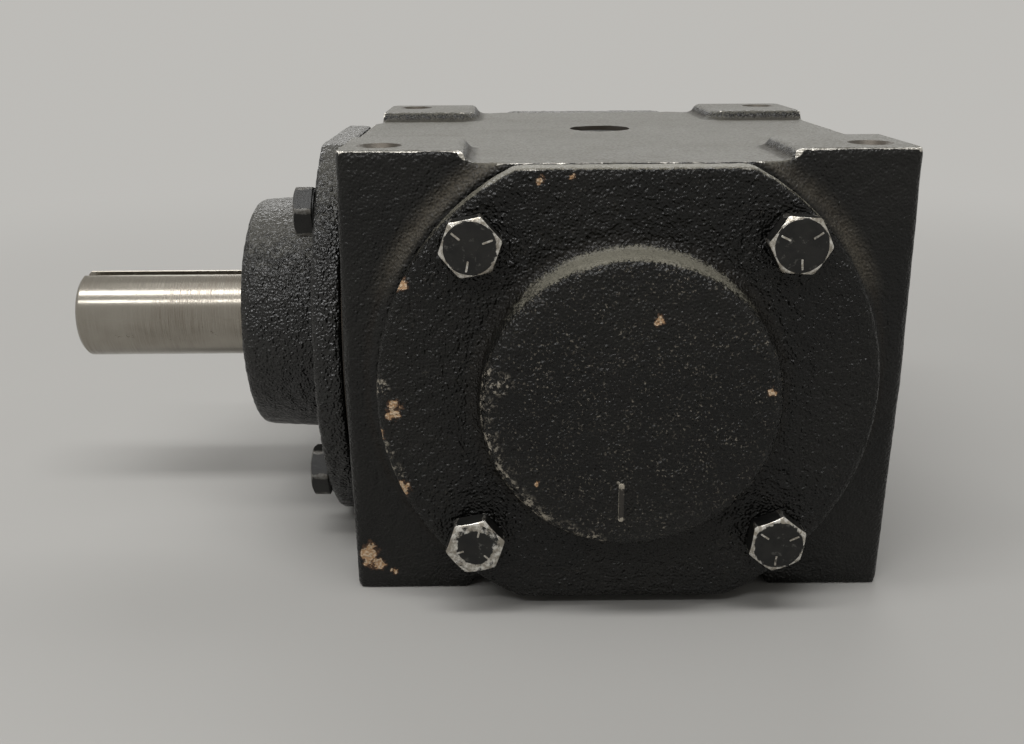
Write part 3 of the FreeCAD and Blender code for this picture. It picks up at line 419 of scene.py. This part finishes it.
stoppers = []
tools = []
for side, face in BOSS_FACE.items():
    outward = OUTWARD[side]
    stoppers.append(bar(PILOT_RADIUS + MM, face - BORE_STOP, face, CENTRE, outward))
    tools.append(bar(PILOT_RADIUS, BORE_START, face + PAST_FACE, CENTRE, outward, 160))
    for mouth in bolt_places(side, face):
        stoppers.append(bar(TAP_RADIUS + 0.5 * MM, 0, TAP_DEPTH + MM, mouth, -outward, 24))
        tools.append(bar(TAP_RADIUS, -PAST_FACE, TAP_DEPTH, mouth, -outward, 32))
for spot in PAD_HOLES:
    top = spot + UP * BODY_HEIGHT
    for mouth, inward in ((top, -UP), (spot, UP)):
        stoppers.append(bar(PAD_STOP_RADIUS, 0, PAD_HOLE_DEPTH + MM, mouth, inward, 32))
    tools.append(turned([
        (-PAST_FACE, 0), (-PAST_FACE, UPPER_HOLE_MOUTH), (UPPER_HOLE_LEAD, UPPER_HOLE_RADIUS),
        (PAD_HOLE_DEPTH, UPPER_HOLE_RADIUS), (PAD_HOLE_DEPTH, 0),
    ], top, -UP, 64))
    tools.append(bar(LOWER_HOLE_RADIUS, -PAST_FACE, PAD_HOLE_DEPTH, spot, UP))
for floor in (PAD_HEIGHT, BODY_HEIGHT - PAD_HEIGHT - FLOOR_WALL):
    place = PORT_PLACE + UP * floor
    stoppers.append(bar(PORT_RADIUS + MM, 0, FLOOR_WALL, place, UP))
    tools.append(bar(PORT_RADIUS, -PAST_FACE, FLOOR_WALL + PAST_FACE, place, UP, 96))


def prism(rim, low, high):
    """Solid that stands on a ring of (x, y) places, between two levels."""
    shape = bmesh.new()
    base = [shape.verts.new((x, y, low)) for x, y in rim]
    lid = [shape.verts.new((x, y, high)) for x, y in rim]
    shape.faces.new(reversed(base))
    shape.faces.new(lid)
    for i in range(len(rim)):
        j = (i + 1) % len(rim)
        shape.faces.new((base[i], base[j], lid[j], lid[i]))
    bmesh.ops.recalc_face_normals(shape, faces=shape.faces)
    return mesh_of(shape)


def rounded_rectangle(width, depth, corner):
    """Ring of (x, y) places round a rectangle with rounded corners."""
    for turn, (x, y) in enumerate(((1, 1), (-1, 1), (-1, -1), (1, -1))):
        for step in range(9):
            angle = math.pi / 2 * (turn + step / 8)
            yield (x * (width / 2 - corner) + corner * math.cos(angle),
                   y * (depth / 2 - corner) + corner * math.sin(angle))


chamber_rim = list(rounded_rectangle(CHAMBER_WIDTH, CHAMBER_DEPTH, CHAMBER_CORNER))
tools.append(prism(chamber_rim, PAD_HEIGHT + FLOOR_WALL, BODY_HEIGHT - PAD_HEIGHT - FLOOR_WALL))
housing_paint = enamel(
    "housing_enamel", dust_and_sheen=0.34, wear=1.25, gloss=0.2, shine=0.3, relief=0.75,
    chips=[((-72.4, -78.8, 10.9), 3.3), ((-69.4, -78.8, 8.2), 2.2), ((-65.2, -78.8, 5.6), 1.1)],
    grime_and_highlight=(69, 96), worn_above=116 * MM,
)
# Bored, drilled and tapped faces are oiled iron, and their dark colour also paints the shade inside the
# bores and holes.
shaded_bore_iron, net, where = new_material("shaded_bored_iron")
turns = where.noise(700, 2)
oil = where.noise(60, 3).ramp(0.35, 0.65)
SHADED_BORED_IRON = (0.13, 0.118, 0.10)
SHADED_OILED_IRON = (0.06, 0.048, 0.036)
surface(net, oil.mix(SHADED_BORED_IRON, SHADED_OILED_IRON), 0.5 - 0.15 * oil, turns * (0.03 * MM), 0.6)
housing = cast("cast_housing", "housing", stoppers, housing_paint,
               grain=1.0 * MM, rounds=5, swell=0.18 * MM, sand=0.16 * MM)
machined(housing, tools, shaded_bore_iron)
dressed(housing, "housing", "housing")

# Shafts. One and an eighth inch steel bar, turned and ground, with a keyway milled in from each free
# end. The ground skin has fine lines round it, a few scratches and a thin brown film.
SHAFT_RADIUS = 14.2875 * MM
KEYWAY_WIDTH = 6.35 * MM
KEYWAY_FLOOR = SHAFT_RADIUS - 3.2 * MM
KEYWAY_LENGTH = 57 * MM
KEYWAY_BREAK = 13.66 * MM
PAST_SKIN = 2 * MM
SHAFT_STEEL = (0.36, 0.338, 0.295)
SHAFT_FILM = (0.21, 0.182, 0.148)


def eased(outline, easing, loop=False):
    """Outline of (along, away) places with its corners rounded a little."""
    spots = [Vector(spot) for spot in outline]
    if loop:
        spots = spots[-1:] + spots + spots[:1]
    rounded = []
    for before, corner, after in zip(spots, spots[1:], spots[2:]):
        back = before - corner
        ahead = after - corner
        start = corner + back.normalized() * min(easing, back.length / 2.1)
        end = corner + ahead.normalized() * min(easing, ahead.length / 2.1)
        for step in (0, 1 / 3, 2 / 3, 1):
            rounded.append(tuple(start * (1 - step) ** 2 + corner * 2 * step * (1 - step) + end * step ** 2))
    return rounded if loop else [tuple(spots[0])] + rounded + [tuple(spots[-1])]


def in_mm(*outline):
    """Outline given in millimetres."""
    return [(along * MM, away * MM) for along, away in outline]


NICK = (0.13, 0.11, 0.085)


def steel(name, colour, film, roughness, lines=(900, 900, 900), streak=0.004 * MM, scratch=0.0):
    """Machined steel under a thin film.

    Lines gives how many tool marks there are to the metre on each axis, streak how deep they are, and
    scratch how strong the nicks are.
    """
    material, net, where = new_material(name)
    marks = where.stretch(lines).noise(1, 2, 0.6)
    stain = where.noise(30, 4, 0.6)
    smear = marks.ramp(0.25, 0.7) * stain.ramp(0.35, 0.72)
    tone = smear.mix(colour, film)
    rough = roughness + 0.14 * smear + 0.12 * (marks - 0.5)
    height = marks * streak
    if scratch:
        nick = where.noise(260, 1).ramp(0.7, 0.74) * where.noise(1900, 1).ramp(0.55, 0.65) * scratch
        tone = nick.mix(tone, NICK)
        rough = rough + nick * 0.3
        height = height - nick * (0.012 * MM)
    surface(net, tone, rough, height, 1 - 0.25 * smear)
    return material


def shaft(name, node, side, body, outline, end, axis_lines):
    """Turned shaft with a keyway open at its free end."""
    outward = OUTWARD[side]
    finish = steel(f"{name}_steel", SHAFT_STEEL, SHAFT_FILM, 0.17, axis_lines, 0.0025 * MM, 0.4)
    piece = placed(name, turned(eased(outline, 0.18 * MM), CENTRE, outward, 144), finish)
    half = KEYWAY_WIDTH / 2
    start = end - KEYWAY_LENGTH + half
    shape = bmesh.new()
    rows = []
    across = UP.cross(outward)
    for level, flare in ((KEYWAY_FLOOR, 0.0), (KEYWAY_BREAK, 0.0), (KEYWAY_BREAK + PAST_SKIN, PAST_SKIN)):
        width = half + flare
        rim = [(start - width * math.sin(a), width * math.cos(a)) for a in np.linspace(0, math.pi, 17)]
        rim += [(end + PAST_SKIN, -width), (end + PAST_SKIN, width)]
        rows.append([shape.verts.new(CENTRE + outward * a + across * b + UP * level) for a, b in rim])
    for below, above in zip(rows, rows[1:]):
        for i in range(len(below)):
            j = (i + 1) % len(below)
            shape.faces.new((below[i], below[j], above[j], above[i]))
    shape.faces.new(rows[0])
    shape.faces.new(rows[-1])
    bmesh.ops.recalc_face_normals(shape, faces=shape.faces)
    machined(piece, [mesh_of(shape)], finish)
    dressed(piece, body, node, 25)


shaft("turned_input_shaft", "input_shaft", "input", "input", in_mm(
    (25.5, 0), (25.5, 9.9), (26.7, 11.1), (28.45, 11.1), (28.45, 9.85), (30, 9.85), (30, 11.1),
    (46, 11.1), (46, 15), (105.2, 15), (105.2, 13.75), (106.75, 13.75), (106.75, 15), (114.7, 15),
    (114.7, 14.2875), (173.5, 14.2875), (174.7, 13.0875), (174.7, 3), (172.3, 1.6), (169.5, 1.6), (169.5, 0),
), 174.7 * MM, (5200, 70, 70))
shaft("turned_output_shaft", "output_shaft", "rear", "output", in_mm(
    (-93.8, 0), (-93.8, 13.8), (-92.6, 15), (-73.45, 15), (-73.45, 16.5), (-22, 16.5), (-22, 19),
    (73.45, 19), (73.45, 15), (117, 15), (117, 14.2875), (175.8, 14.2875), (177, 13.0875), (177, 3),
    (174.6, 1.6), (171.8, 1.6), (171.8, 0),
), 177 * MM, (70, 5200, 70))

# Gears, keys, rings, sleeves and bearings. Case-hardened bevel gears keyed to their shafts and run in
# tapered roller bearings, held by sleeves and snap rings. All are ground or lapped and wet with oil.
BEARINGS = ("input_inner", "input_outer", "output_front", "output_rear")
INNER_STEELS = {
    "gear_steel": steel("lapped_gear_steel", (0.40, 0.385, 0.36), (0.20, 0.15, 0.09), 0.28),
    "key_steel": steel("drawn_key_steel", (0.46, 0.44, 0.41), (0.24, 0.19, 0.13), 0.34),
    "spring_steel": steel("blued_spring_steel", (0.06, 0.06, 0.066), (0.10, 0.085, 0.06), 0.36),
    "bearing_steel": steel("ground_bearing_steel", (0.62, 0.60, 0.57), (0.42, 0.35, 0.25), 0.14),
    "cage_steel": steel("pressed_cage_steel", (0.30, 0.29, 0.27), (0.19, 0.15, 0.10), 0.40),
}
INNER_PIECES = {
    "gear_steel": ["pinion", "gear"],
    "key_steel": ["pinion_key", "gear_key", "input_spacer", "gear_spacer"],
    "spring_steel": ["pinion_ring", "input_ring"],
    "bearing_steel": [f"{place}_{kind}" for place in BEARINGS for kind in ("cup", "cone", "rollers")],
    "cage_steel": [f"{place}_cage" for place in BEARINGS],
}


def finished(node, material):
    """Give a CAD piece its finish."""
    mesh = nodes[node].data
    if not mesh.materials:
        mesh.materials.append(material)
    for number in range(len(mesh.materials)):
        mesh.materials[number] = material


for kind, names in INNER_PIECES.items():
    for node in names:
        finished(node, INNER_STEELS[kind])

# Gaskets. Sheets of brown fibre paper, cut to the flange and a little smaller, soaked with oil at
# their edges and pinched between each cover and its boss.
gasket_paper, net, where = new_material("gasket_paper")
fibres = where.stretch((900, 900, 200)).noise(1, 3, 0.7)
soak = where.noise(55, 3).ramp(0.35, 0.7)
DRY_PAPER = (0.055, 0.043, 0.03)
SOAKED_PAPER = (0.022, 0.018, 0.014)
surface(net, soak.mix(DRY_PAPER, SOAKED_PAPER), 0.85 - 0.3 * soak, fibres * (0.05 * MM))
for node in ("front_gasket", "input_gasket", "output_gasket"):
    finished(node, gasket_paper)

# Covers. Iron castings with a round flange, flat at top and bottom. The front one has a shallow blind
# dome with a short cast bar on its face, and the others a hub that a shaft leaves through. Each is
# bored for its bearing and painted with the housing; handling has chipped the front one's left edge.
FLANGE = 9 * MM
FLANGE_FRONT = {"front": 90 * MM, "rear": 90 * MM, "input": 87.7 * MM}
COVER_HOLE = 5.1125 * MM
CUP_RADIUS = 31 * MM
DOME_FACE = 100 * MM
HUB_END = {"input": 114.7, "rear": 117}
HUB_LEAD = 0.9 * MM


def bored(steps, end, spare=0.0):
    """Outline of a stepped bore from (start, radius) steps."""
    outline = [(steps[0][0], 0)]
    ends = [start for start, radius in steps[1:]] + [end]
    for (start, radius), stop in zip(steps, ends):
        outline += [(start, radius + spare), (stop, radius + spare)]
    return outline + [(end, 0)]


def cover(name, node, side, steps, end, through, paint, sand):
    """Casting of a cover, its bolt holes drilled and its bearing pocket bored."""
    outward = OUTWARD[side]
    front = FLANGE_FRONT[side]
    stops = [turned(bored(steps, end, 0.4 * MM), CENTRE, outward)]
    (start, radius), *others = steps
    pocket = bored([(start - PAST_FACE, radius), *others], end)
    if through:
        pocket[-2:] = [(end - HUB_LEAD, CUP_RADIUS), (end + PAST_FACE, CUP_RADIUS + HUB_LEAD + PAST_FACE),
                       (end + PAST_FACE, 0)]
    cuts = [turned(pocket, CENTRE, outward, 160)]
    for mouth in bolt_places(side, front):
        stops.append(bar(COVER_HOLE + 0.5 * MM, 0, FLANGE, mouth, -outward, 24))
        cuts.append(bar(COVER_HOLE, -PAST_FACE, FLANGE + PAST_FACE, mouth, -outward, 32))
    piece = cast(name, node, stops, paint, grain=0.8 * MM, rounds=12, swell=0.14 * MM, sand=sand)
    machined(piece, cuts, shaded_bore_iron)
    return piece


flange_chips = [
    ((-61.9, -90, 61.0), 2.1), ((-62.4, -90, 58.4), 1.9), ((-66.4, -88.5, 52.3), 1.7),
    ((-60.6, -89.5, 36.6), 2.2), ((-59.3, -89.5, 93.5), 1.9), ((-23.6, -90, 120.0), 1.1),
    ((-15.7, -90, 120.6), 0.9),
]
dome_chips = [((5.9, -100, 86.1), 1.4), ((35.4, -99, 67.1), 1.3), ((-24.6, -100, 42.3), 0.75)]
flange_corners = [((-27.2, -89.5, 122.2), 9), ((27.2, -89.5, 122.2), 9)]
flange_scuffs = [((-66.4, -89, 66), 4.5), ((-65.8, -89, 48), 4.5), ((-63.4, -89, 41), 4.5)]
dome_scuffs = [((-2.4, -100.5, 42.6), 1.7), ((-2.2, -100.5, 31.6), 1.6), ((-33.9, -100, 69.9), 4)]
for angle in (168, 180, 190, 199, 208, 216, 224, 233, 244, 255):
    turn = math.radians(angle)
    dome_scuffs.append(((39.6 * math.cos(turn), -99.4, 63 + 39.6 * math.sin(turn)), 5.2))
front_paint = enamel(
    "front_cover_enamel", dust_and_sheen=0.66, wear=0.2, gloss=0.12, shine=0.28, relief=1.25,
    chips=flange_chips + dome_chips, worn=flange_corners, scuffs=dome_scuffs + flange_scuffs,
    specks=(0.1, 0.75),
)
carrier_paint = enamel("carrier_enamel", dust_and_sheen=0.15, wear=0.2, gloss=0.1, shine=0.5, relief=1.3)
front_cover = cover("cast_front_cover", "front_cover", "front", in_mm((73, 31), (92.5, 25)), 95 * MM, False,
                    front_paint, 0.2 * MM)
MARK_WIDTH = 1.9 * MM
MARK_LENGTH = 11.3 * MM
MARK_RISE = 0.55 * MM
MARK_PLACE = Vector((-2.4 * MM, -DOME_FACE, 37 * MM))
mark = prism(list(rounded_rectangle(MARK_WIDTH, MARK_LENGTH, 0.7 * MM)), -0.8 * MM, MARK_RISE)
for vertex in mark.vertices:
    if vertex.co.z > 0:
        vertex.co.x *= 0.7
        vertex.co.y *= 0.94
mark.transform(Matrix.Translation(MARK_PLACE) @ Matrix.Rotation(math.pi / 2, 4, "X"))
RUBBED_ENAMEL = (0.026, 0.022, 0.017)
mark_paint, net, where = new_material("mark_enamel")
# The mark's faces that turn to the left and up are lightened to the scuff colour as a painted highlight, and
# its two ends are rubbed pale.
highlight_facing = net.node("ShaderNodeTexCoord", output="Normal")
rub = 0.8 * (0 - highlight_facing.part("X")).ramp(0.3, 0.6).most(highlight_facing.part("Z").ramp(0.5, 0.8))
for end, reach in ((42.2, 2.4), (31.8, 1.9)):
    rub = rub.most(0.9 - where.far(Vector((-2.4, -100.5, end)) * MM).ramp(0.2 * MM, reach * MM))
rub = (rub + 2.4 * (where.noise(1300, 2) - 0.5)).ramp(0.4, 0.75)
surface(net, rub.mix(RUBBED_ENAMEL, SCUFF), 0.4 + 0.1 * rub, where.noise(1050, 2) * (0.2 * MM))
machined(front_cover, [mark], mark_paint, "UNION")
input_carrier = cover("cast_input_carrier", "input_carrier", "input",
                      in_mm((49.05, 31), (65.05, 25), (86.15, 31)), HUB_END["input"] * MM, True,
                      carrier_paint, 0.38 * MM)
output_cover = cover("cast_output_cover", "output_cover", "rear",
                     in_mm((73, 31), (92.5, 25), (110, 31)), HUB_END["rear"] * MM, True,
                     carrier_paint, 0.38 * MM)
COVER_NODES = {front_cover: "front_cover", input_carrier: "input_carrier", output_cover: "output_cover"}
for piece, node in COVER_NODES.items():
    dressed(piece, "housing", node)

# Cover bolts. Three-eighths hex-head steel bolts, cold-headed with three raised lines on the head and
# rolled threads, screwed into the housing. They were sprayed with the rest, and the front ones have
# been bared by a wrench on their chamfers, corners and lines.
HEAD_FLATS = 14.2875 * MM
HEAD_HEIGHT = 5.95 * MM
CROWN_RADIUS = HEAD_FLATS / 2 - 0.36 * MM
WASHER_RADIUS = 6.7 * MM
WASHER_RISE = 0.4 * MM
BOLT_RADIUS = 4.7625 * MM
BOLT_LENGTH = 25.4 * MM
THREAD_PITCH = 1.5875 * MM
THREAD_DEPTH = 0.9 * MM
HEAD_SIDES = 120
SHANK_SIDES = 24
LINE_LENGTH = 2.8 * MM
LINE_WIDTH = 0.5 * MM
LINE_RISE = 0.14 * MM
LINE_MIDDLE = 4.65 * MM
HEAD_ANGLES = {"front": (11, -4, 11, 22), "input": (30, 12, 24, 5), "rear": (8, 27, 16, 40)}
LINE_ANGLES = {"front": (9, 38, 66, 3), "input": (50, 20, 80, 35), "rear": (14, 70, 42, 28)}


def hexagon_reach(angle, first):
    """Distance from the middle of the head to its flats, at an angle."""
    off = (angle - first) % (math.pi / 3) - math.pi / 6
    return HEAD_FLATS / 2 / math.cos(off)


def bolt_mesh(first):
    """Bolt whose head sits on z = 0, from rings of places: top, chamfer, sides, washer face, thread."""
    shape = bmesh.new()
    fall = math.tan(math.radians(30))
    turns = [2 * math.pi * step / HEAD_SIDES for step in range(HEAD_SIDES)]
    blunt = HEAD_FLATS / 2 / math.cos(math.pi / 6) - 0.16 * MM
    reach = [min(hexagon_reach(turn, first), blunt) for turn in turns]
    levels = []
    for share in (0.4, 0.8):
        levels.append([(CROWN_RADIUS * share, HEAD_HEIGHT)] * HEAD_SIDES)
    for back, drop in ((0.25, 0.0), (0.06, 0.03), (-0.12, 0.1)):
        levels.append([(CROWN_RADIUS - back * MM, HEAD_HEIGHT - drop * MM)] * HEAD_SIDES)
    for back, drop in ((0.14, -0.02), (0.03, 0.05), (0.0, 0.2)):
        levels.append([(r - back * MM, HEAD_HEIGHT - (r - CROWN_RADIUS - back * MM) * fall - drop * MM)
                       for r in reach])
    levels.append([(r, WASHER_RISE + 0.15 * MM) for r in reach])
    levels.append([(r - 0.12 * MM, WASHER_RISE) for r in reach])
    for radius, level in ((WASHER_RADIUS, WASHER_RISE), (WASHER_RADIUS, 0.0), (BOLT_RADIUS, 0.0)):
        levels.append([(radius, level)] * HEAD_SIDES)
    rings = []
    for level in levels:
        rings.append([shape.verts.new((r * math.cos(turn), r * math.sin(turn), z))
                      for turn, (r, z) in zip(turns, level)])
    peak = shape.verts.new((0, 0, HEAD_HEIGHT))
    for step in range(HEAD_SIDES):
        after = (step + 1) % HEAD_SIDES
        shape.faces.new((peak, rings[0][step], rings[0][after]))
        for upper, lower in zip(rings, rings[1:]):
            shape.faces.new((upper[step], lower[step], lower[after], upper[after]))
    shank = []
    rows = round(BOLT_LENGTH / THREAD_PITCH * 6)
    spread = HEAD_SIDES // SHANK_SIDES
    for row in range(rows + 1):
        depth = BOLT_LENGTH * row / rows
        ring = []
        for step in range(SHANK_SIDES):
            share = (depth / THREAD_PITCH + step / SHANK_SIDES) % 1
            cut = THREAD_DEPTH * (1 - abs(2 * share - 1)) * min(1, depth / (2 * MM))
            taper = max(0, depth - BOLT_LENGTH + MM)
            turn = turns[step * spread]
            radius = BOLT_RADIUS - max(cut, taper)
            ring.append(shape.verts.new((radius * math.cos(turn), radius * math.sin(turn), -depth)))
        shank.append(ring)
    for upper, lower in zip(shank, shank[1:]):
        for step in range(SHANK_SIDES):
            after = (step + 1) % SHANK_SIDES
            shape.faces.new((upper[step], lower[step], lower[after], upper[after]))
    shape.faces.new(shank[-1])
    for step in range(SHANK_SIDES):
        fan = rings[-1][step * spread:(step + 1) * spread] + [rings[-1][(step + 1) * spread % HEAD_SIDES]]
        shape.faces.new((*fan, shank[0][(step + 1) % SHANK_SIDES], shank[0][step]))
    bmesh.ops.remove_doubles(shape, verts=shape.verts, dist=0.002 * MM)
    bmesh.ops.recalc_face_normals(shape, faces=shape.faces)
    return mesh_of(shape)


BOLT_BLACK = (0.008, 0.008, 0.0075)
THIN_BLACK = (0.016, 0.0155, 0.014)
BOLT_SCUFF = (0.17, 0.165, 0.15)
DULL_STEEL = (0.36, 0.33, 0.28)
BRIGHT_STEEL = (0.76, 0.74, 0.69)


def bolt_paint(name, wear, bare_from, number):
    """Black enamel on a bolt; wear bares its chamfer, corners, lines and the top outside a radius."""
    material, net, where = new_material(name)
    facing = net.node("ShaderNodeTexCoord", output="Normal").part("Z")
    level = where.part("Z")
    radius = where.stretch((1, 1, 0)).far((0, 0, 0))
    own = where.shift((0.05 * number, 0.03 * number, 0))
    grain = own.noise(900, 3, 0.65)
    patch = own.noise(230, 2)
    chamfer = facing.ramp(0.35, 0.6) * (1 - facing.ramp(0.94, 0.99))
    corner = radius.ramp(7.55 * MM, 8.05 * MM) * 0.75
    raised = level.ramp(HEAD_HEIGHT + 0.05 * MM, HEAD_HEIGHT + 0.12 * MM) * 0.9
    rim = radius.ramp((bare_from - 0.7) * MM, (bare_from + 0.7) * MM) * facing.ramp(0.9, 0.98) * 0.68
    rub = chamfer.most(raised).most(corner).most(rim) + (grain - 0.5) * 0.9 + (patch - 0.5) * 1.5
    bare = rub.ramp(0.52, 0.74) * wear
    scuff = own.noise(480, 4, 0.7).ramp(0.58, 0.7) * facing.ramp(0.9, 0.98) * (0.5 * wear)
    tone = patch.ramp(0.35, 0.65).mix(BOLT_BLACK, THIN_BLACK)
    tone = scuff.mix(tone, BOLT_SCUFF)
    tone = bare.mix(tone, own.noise(520, 4, 0.7).ramp(0.4, 0.62).mix(DULL_STEEL, BRIGHT_STEEL))
    rough = 0.34 + 0.16 * patch - bare * 0.14
    surface(net, tone, rough, grain * (0.1 * MM) - bare * (0.03 * MM), bare, specular_ior_level=0.35)
    return material


FRONT_BARE_FROM = (6.5, 6.6, 4.6, 6.2)
black_bolt = bolt_paint("black_bolt_enamel", 0.2, 7, 0)
BOLT_NODES = {"front": "front_bolts", "input": "input_bolts", "rear": "output_bolts"}
for side, node in BOLT_NODES.items():
    outward = OUTWARD[side]
    across = UP.cross(outward)
    turn = Matrix((across, UP, outward)).transposed().to_4x4()
    for number, seat in enumerate(bolt_places(side, FLANGE_FRONT[side])):
        first = math.radians(HEAD_ANGLES[side][number])
        finish = black_bolt
        if side == "front":
            finish = bolt_paint(f"worn_bolt_enamel_{number + 1}", 1.0, FRONT_BARE_FROM[number], number + 1)
        piece = placed(f"{side}_bolt_{number + 1}", bolt_mesh(first), finish)
        lines = []
        for third in range(3):
            line = prism(list(rounded_rectangle(LINE_LENGTH, LINE_WIDTH, 0.2 * MM)),
                         HEAD_HEIGHT - 0.3 * MM, HEAD_HEIGHT + LINE_RISE)
            angle = first + math.radians(LINE_ANGLES[side][number] + 120 * third)
            line.transform(Matrix.Rotation(angle, 4, "Z") @ Matrix.Translation((LINE_MIDDLE, 0, 0)))
            lines.append(line)
        machined(piece, lines, finish, "UNION")
        piece.matrix_world = Matrix.Translation(seat) @ turn
        dressed(piece, "housing", node, 28)

# Shaft seals. A pressed steel case driven into the end of each hub, with a black rubber lip moulded to
# it that bears on the shaft, its outer face dished and ribbed.
seal_steel = steel("seal_case_steel", (0.30, 0.295, 0.28), (0.13, 0.10, 0.07), 0.42)
seal_rubber, net, where = new_material("seal_rubber")
bloom = where.noise(160, 4, 0.6).ramp(0.4, 0.7)
BLACK_RUBBER = (0.011, 0.011, 0.011)
GREY_BLOOM = (0.03, 0.029, 0.027)
surface(net, bloom.mix(BLACK_RUBBER, GREY_BLOOM), 0.5 + 0.25 * bloom, where.noise(2600, 2) * (0.015 * MM))
for side, prefix in (("input", "input"), ("rear", "output")):
    end = HUB_END[side]
    case = placed(f"pressed_{prefix}_seal_case", turned(eased(in_mm(
        (end - 7, 31), (end - 0.4, 31), (end - 0.4, 22), (end - 1.4, 22), (end - 1.4, 29.8), (end - 7, 29.8),
    ), 0.5 * MM, True), CENTRE, OUTWARD[side], 128), seal_steel)
    dressed(case, "housing", f"{prefix}_seal_case")
    lip = placed(f"moulded_{prefix}_seal_lip", turned(eased(in_mm(
        (end - 0.5, 22.6), (end - 0.2, 21.6), (end - 0.9, 20.6), (end - 0.9, 18.9), (end - 0.4, 18.3),
        (end - 0.5, 17.4), (end - 1.6, 16.6), (end - 0.3, 15.1), (end - 7, 15.05), (end - 7, 17.45),
        (end - 2.6, 17.45), (end - 2.6, 23.4), (end - 1.4, 23.4), (end - 1.4, 22.6),
    ), 0.3 * MM, True), CENTRE, OUTWARD[side], 128), seal_rubber)
    dressed(lip, "housing", f"{prefix}_seal_lip")

# Oil plugs. Headless steel plugs with a hexagon socket, screwed below the mouths of the fill port on
# top and the drain port underneath, and painted over with the housing.
PLUG_RADIUS = 9.95 * MM
PLUG_LENGTH = 7 * MM
PLUG_CHAMFER = 0.9 * MM
SOCKET_LEAD = 0.4 * MM
SOCKET_DEPTH = 4.5 * MM
SOCKET_POINT = 5.6 * MM
SOCKET_CORNER = 9.525 * MM / 2 / math.cos(math.pi / 6)
plug_paint = steel("plug_steel", (0.035, 0.034, 0.031), (0.012, 0.012, 0.011), 0.5)
for name, level, inward in (("fill", 121.5 * MM, -UP), ("drain", 4.5 * MM, UP)):
    mouth = PORT_PLACE + UP * level
    plug = placed(f"{name}_port_plug", turned(eased([
        (0, 0), (0, PLUG_RADIUS - PLUG_CHAMFER), (PLUG_CHAMFER, PLUG_RADIUS),
        (PLUG_LENGTH, PLUG_RADIUS), (PLUG_LENGTH, 0),
    ], 0.2 * MM), mouth, inward, 96), plug_paint)
    socket = turned([
        (-PAST_FACE, 0), (-PAST_FACE, SOCKET_CORNER + SOCKET_LEAD + PAST_FACE), (SOCKET_LEAD, SOCKET_CORNER),
        (SOCKET_DEPTH, SOCKET_CORNER), (SOCKET_POINT, 0),
    ], mouth, inward, 6)
    machined(plug, [socket], plug_paint)
    dressed(plug, "housing", f"{name}_plug", 30)

# Floor and light. A pale floor that fades into a pale surround of the same colour. A wide soft lamp and
# a strip hang overhead, one lamp stands behind, and a narrow one in front.
PALE = (0.51, 0.50, 0.477, 1)
FLOOR_SHADES = ((0.50, 0.49, 0.468), (0.52, 0.51, 0.487))
FLOOR_RADIUS = 8
FLOOR_SLAB = 0.01
AIR_GLOW = (0.62, 0.61, 0.585, 1)


def seen(net):
    """1 on the paths that show the surround itself: to the eye, or by way of a shiny or clear surface."""
    eye, gloss, glass = [net.node("ShaderNodeLightPath", output=f"Is {kind} Ray")
                         for kind in ("Camera", "Glossy", "Transmission")]
    return eye.most(gloss).most(glass)


floor_paint, net, where = new_material("pale_floor")
fade = where.far((0, 0, 0)).ramp(0.1, 0.8) * seen(net)
surface(net, where.noise(3, 2).ramp(0.3, 0.7).mix(*FLOOR_SHADES), 0.7, where.noise(300, 2) * (0.02 * MM),
        veil=(fade, net.node("ShaderNodeEmission", None, {"Color": PALE})))
floor = placed("floor", turned([
    (0, 0), (0, FLOOR_RADIUS), (-FLOOR_SLAB, FLOOR_RADIUS), (-FLOOR_SLAB, 0),
], Vector(), UP), floor_paint)


def lamp(name, place, aim, size, power):
    """Soft lamp at a place, turned to its aim; the first of its sizes lies along X where both share x."""
    light = bpy.data.lights.new(name, "AREA")
    light.shape = "RECTANGLE"
    light.size, light.size_y = size
    light.energy = power
    made = placed(name, light)
    made.location = place
    made.rotation_mode = "QUATERNION"
    made.rotation_quaternion = (Vector(aim) - Vector(place)).to_track_quat("-Z", "Y")


lamp("overhead", (-0.1, -0.15, 1.2), (-0.1, -0.1, 0.05), (1.2, 0.9), 2)
lamp("strip", (-0.3, -0.34, 1.1), (-0.3, -0.05, 0.1), (1.4, 0.18), 6.5)
lamp("back", (0.0, 1.15, 0.85), (0, 0, 0.08), (1.5, 0.3), 5)
lamp("front_key", (-0.45, -0.95, 1.05), (-0.45, 0, 0.06), (1.0, 0.08), 3)
world = bpy.data.worlds.new("studio")
bpy.context.scene.world = world
world.use_nodes = True
world.node_tree.nodes.clear()
air = Wire(world.node_tree)
glow = air.node("ShaderNodeBackground", None, {"Color": AIR_GLOW, "Strength": 0.24})
surround = air.node("ShaderNodeBackground", None, {"Color": PALE})
air.node("ShaderNodeOutputWorld", None, {
    "Surface": air.node("ShaderNodeMixShader", None, {0: seen(air), 1: glow, 2: surround}),
})

# Camera. It stands before the front cover, a little above the housing and left of its middle, and its
# lens gives the photograph's frame.
camera = placed("camera", bpy.data.cameras.new("camera"))
camera.data.sensor_width = 36
camera.data.lens = 37.44
camera.location = (-0.0329, -0.3549, 0.1571)
camera.rotation_mode = "QUATERNION"
camera.rotation_quaternion = (
    Quaternion((0, 0, 1), math.radians(-0.451)) @ Quaternion((1, 0, 0), math.radians(71.805))
    @ Quaternion((0, 0, 1), math.radians(-0.313))
)
bpy.context.scene.camera = camera
bpy.context.scene.view_settings.view_transform = "Standard"
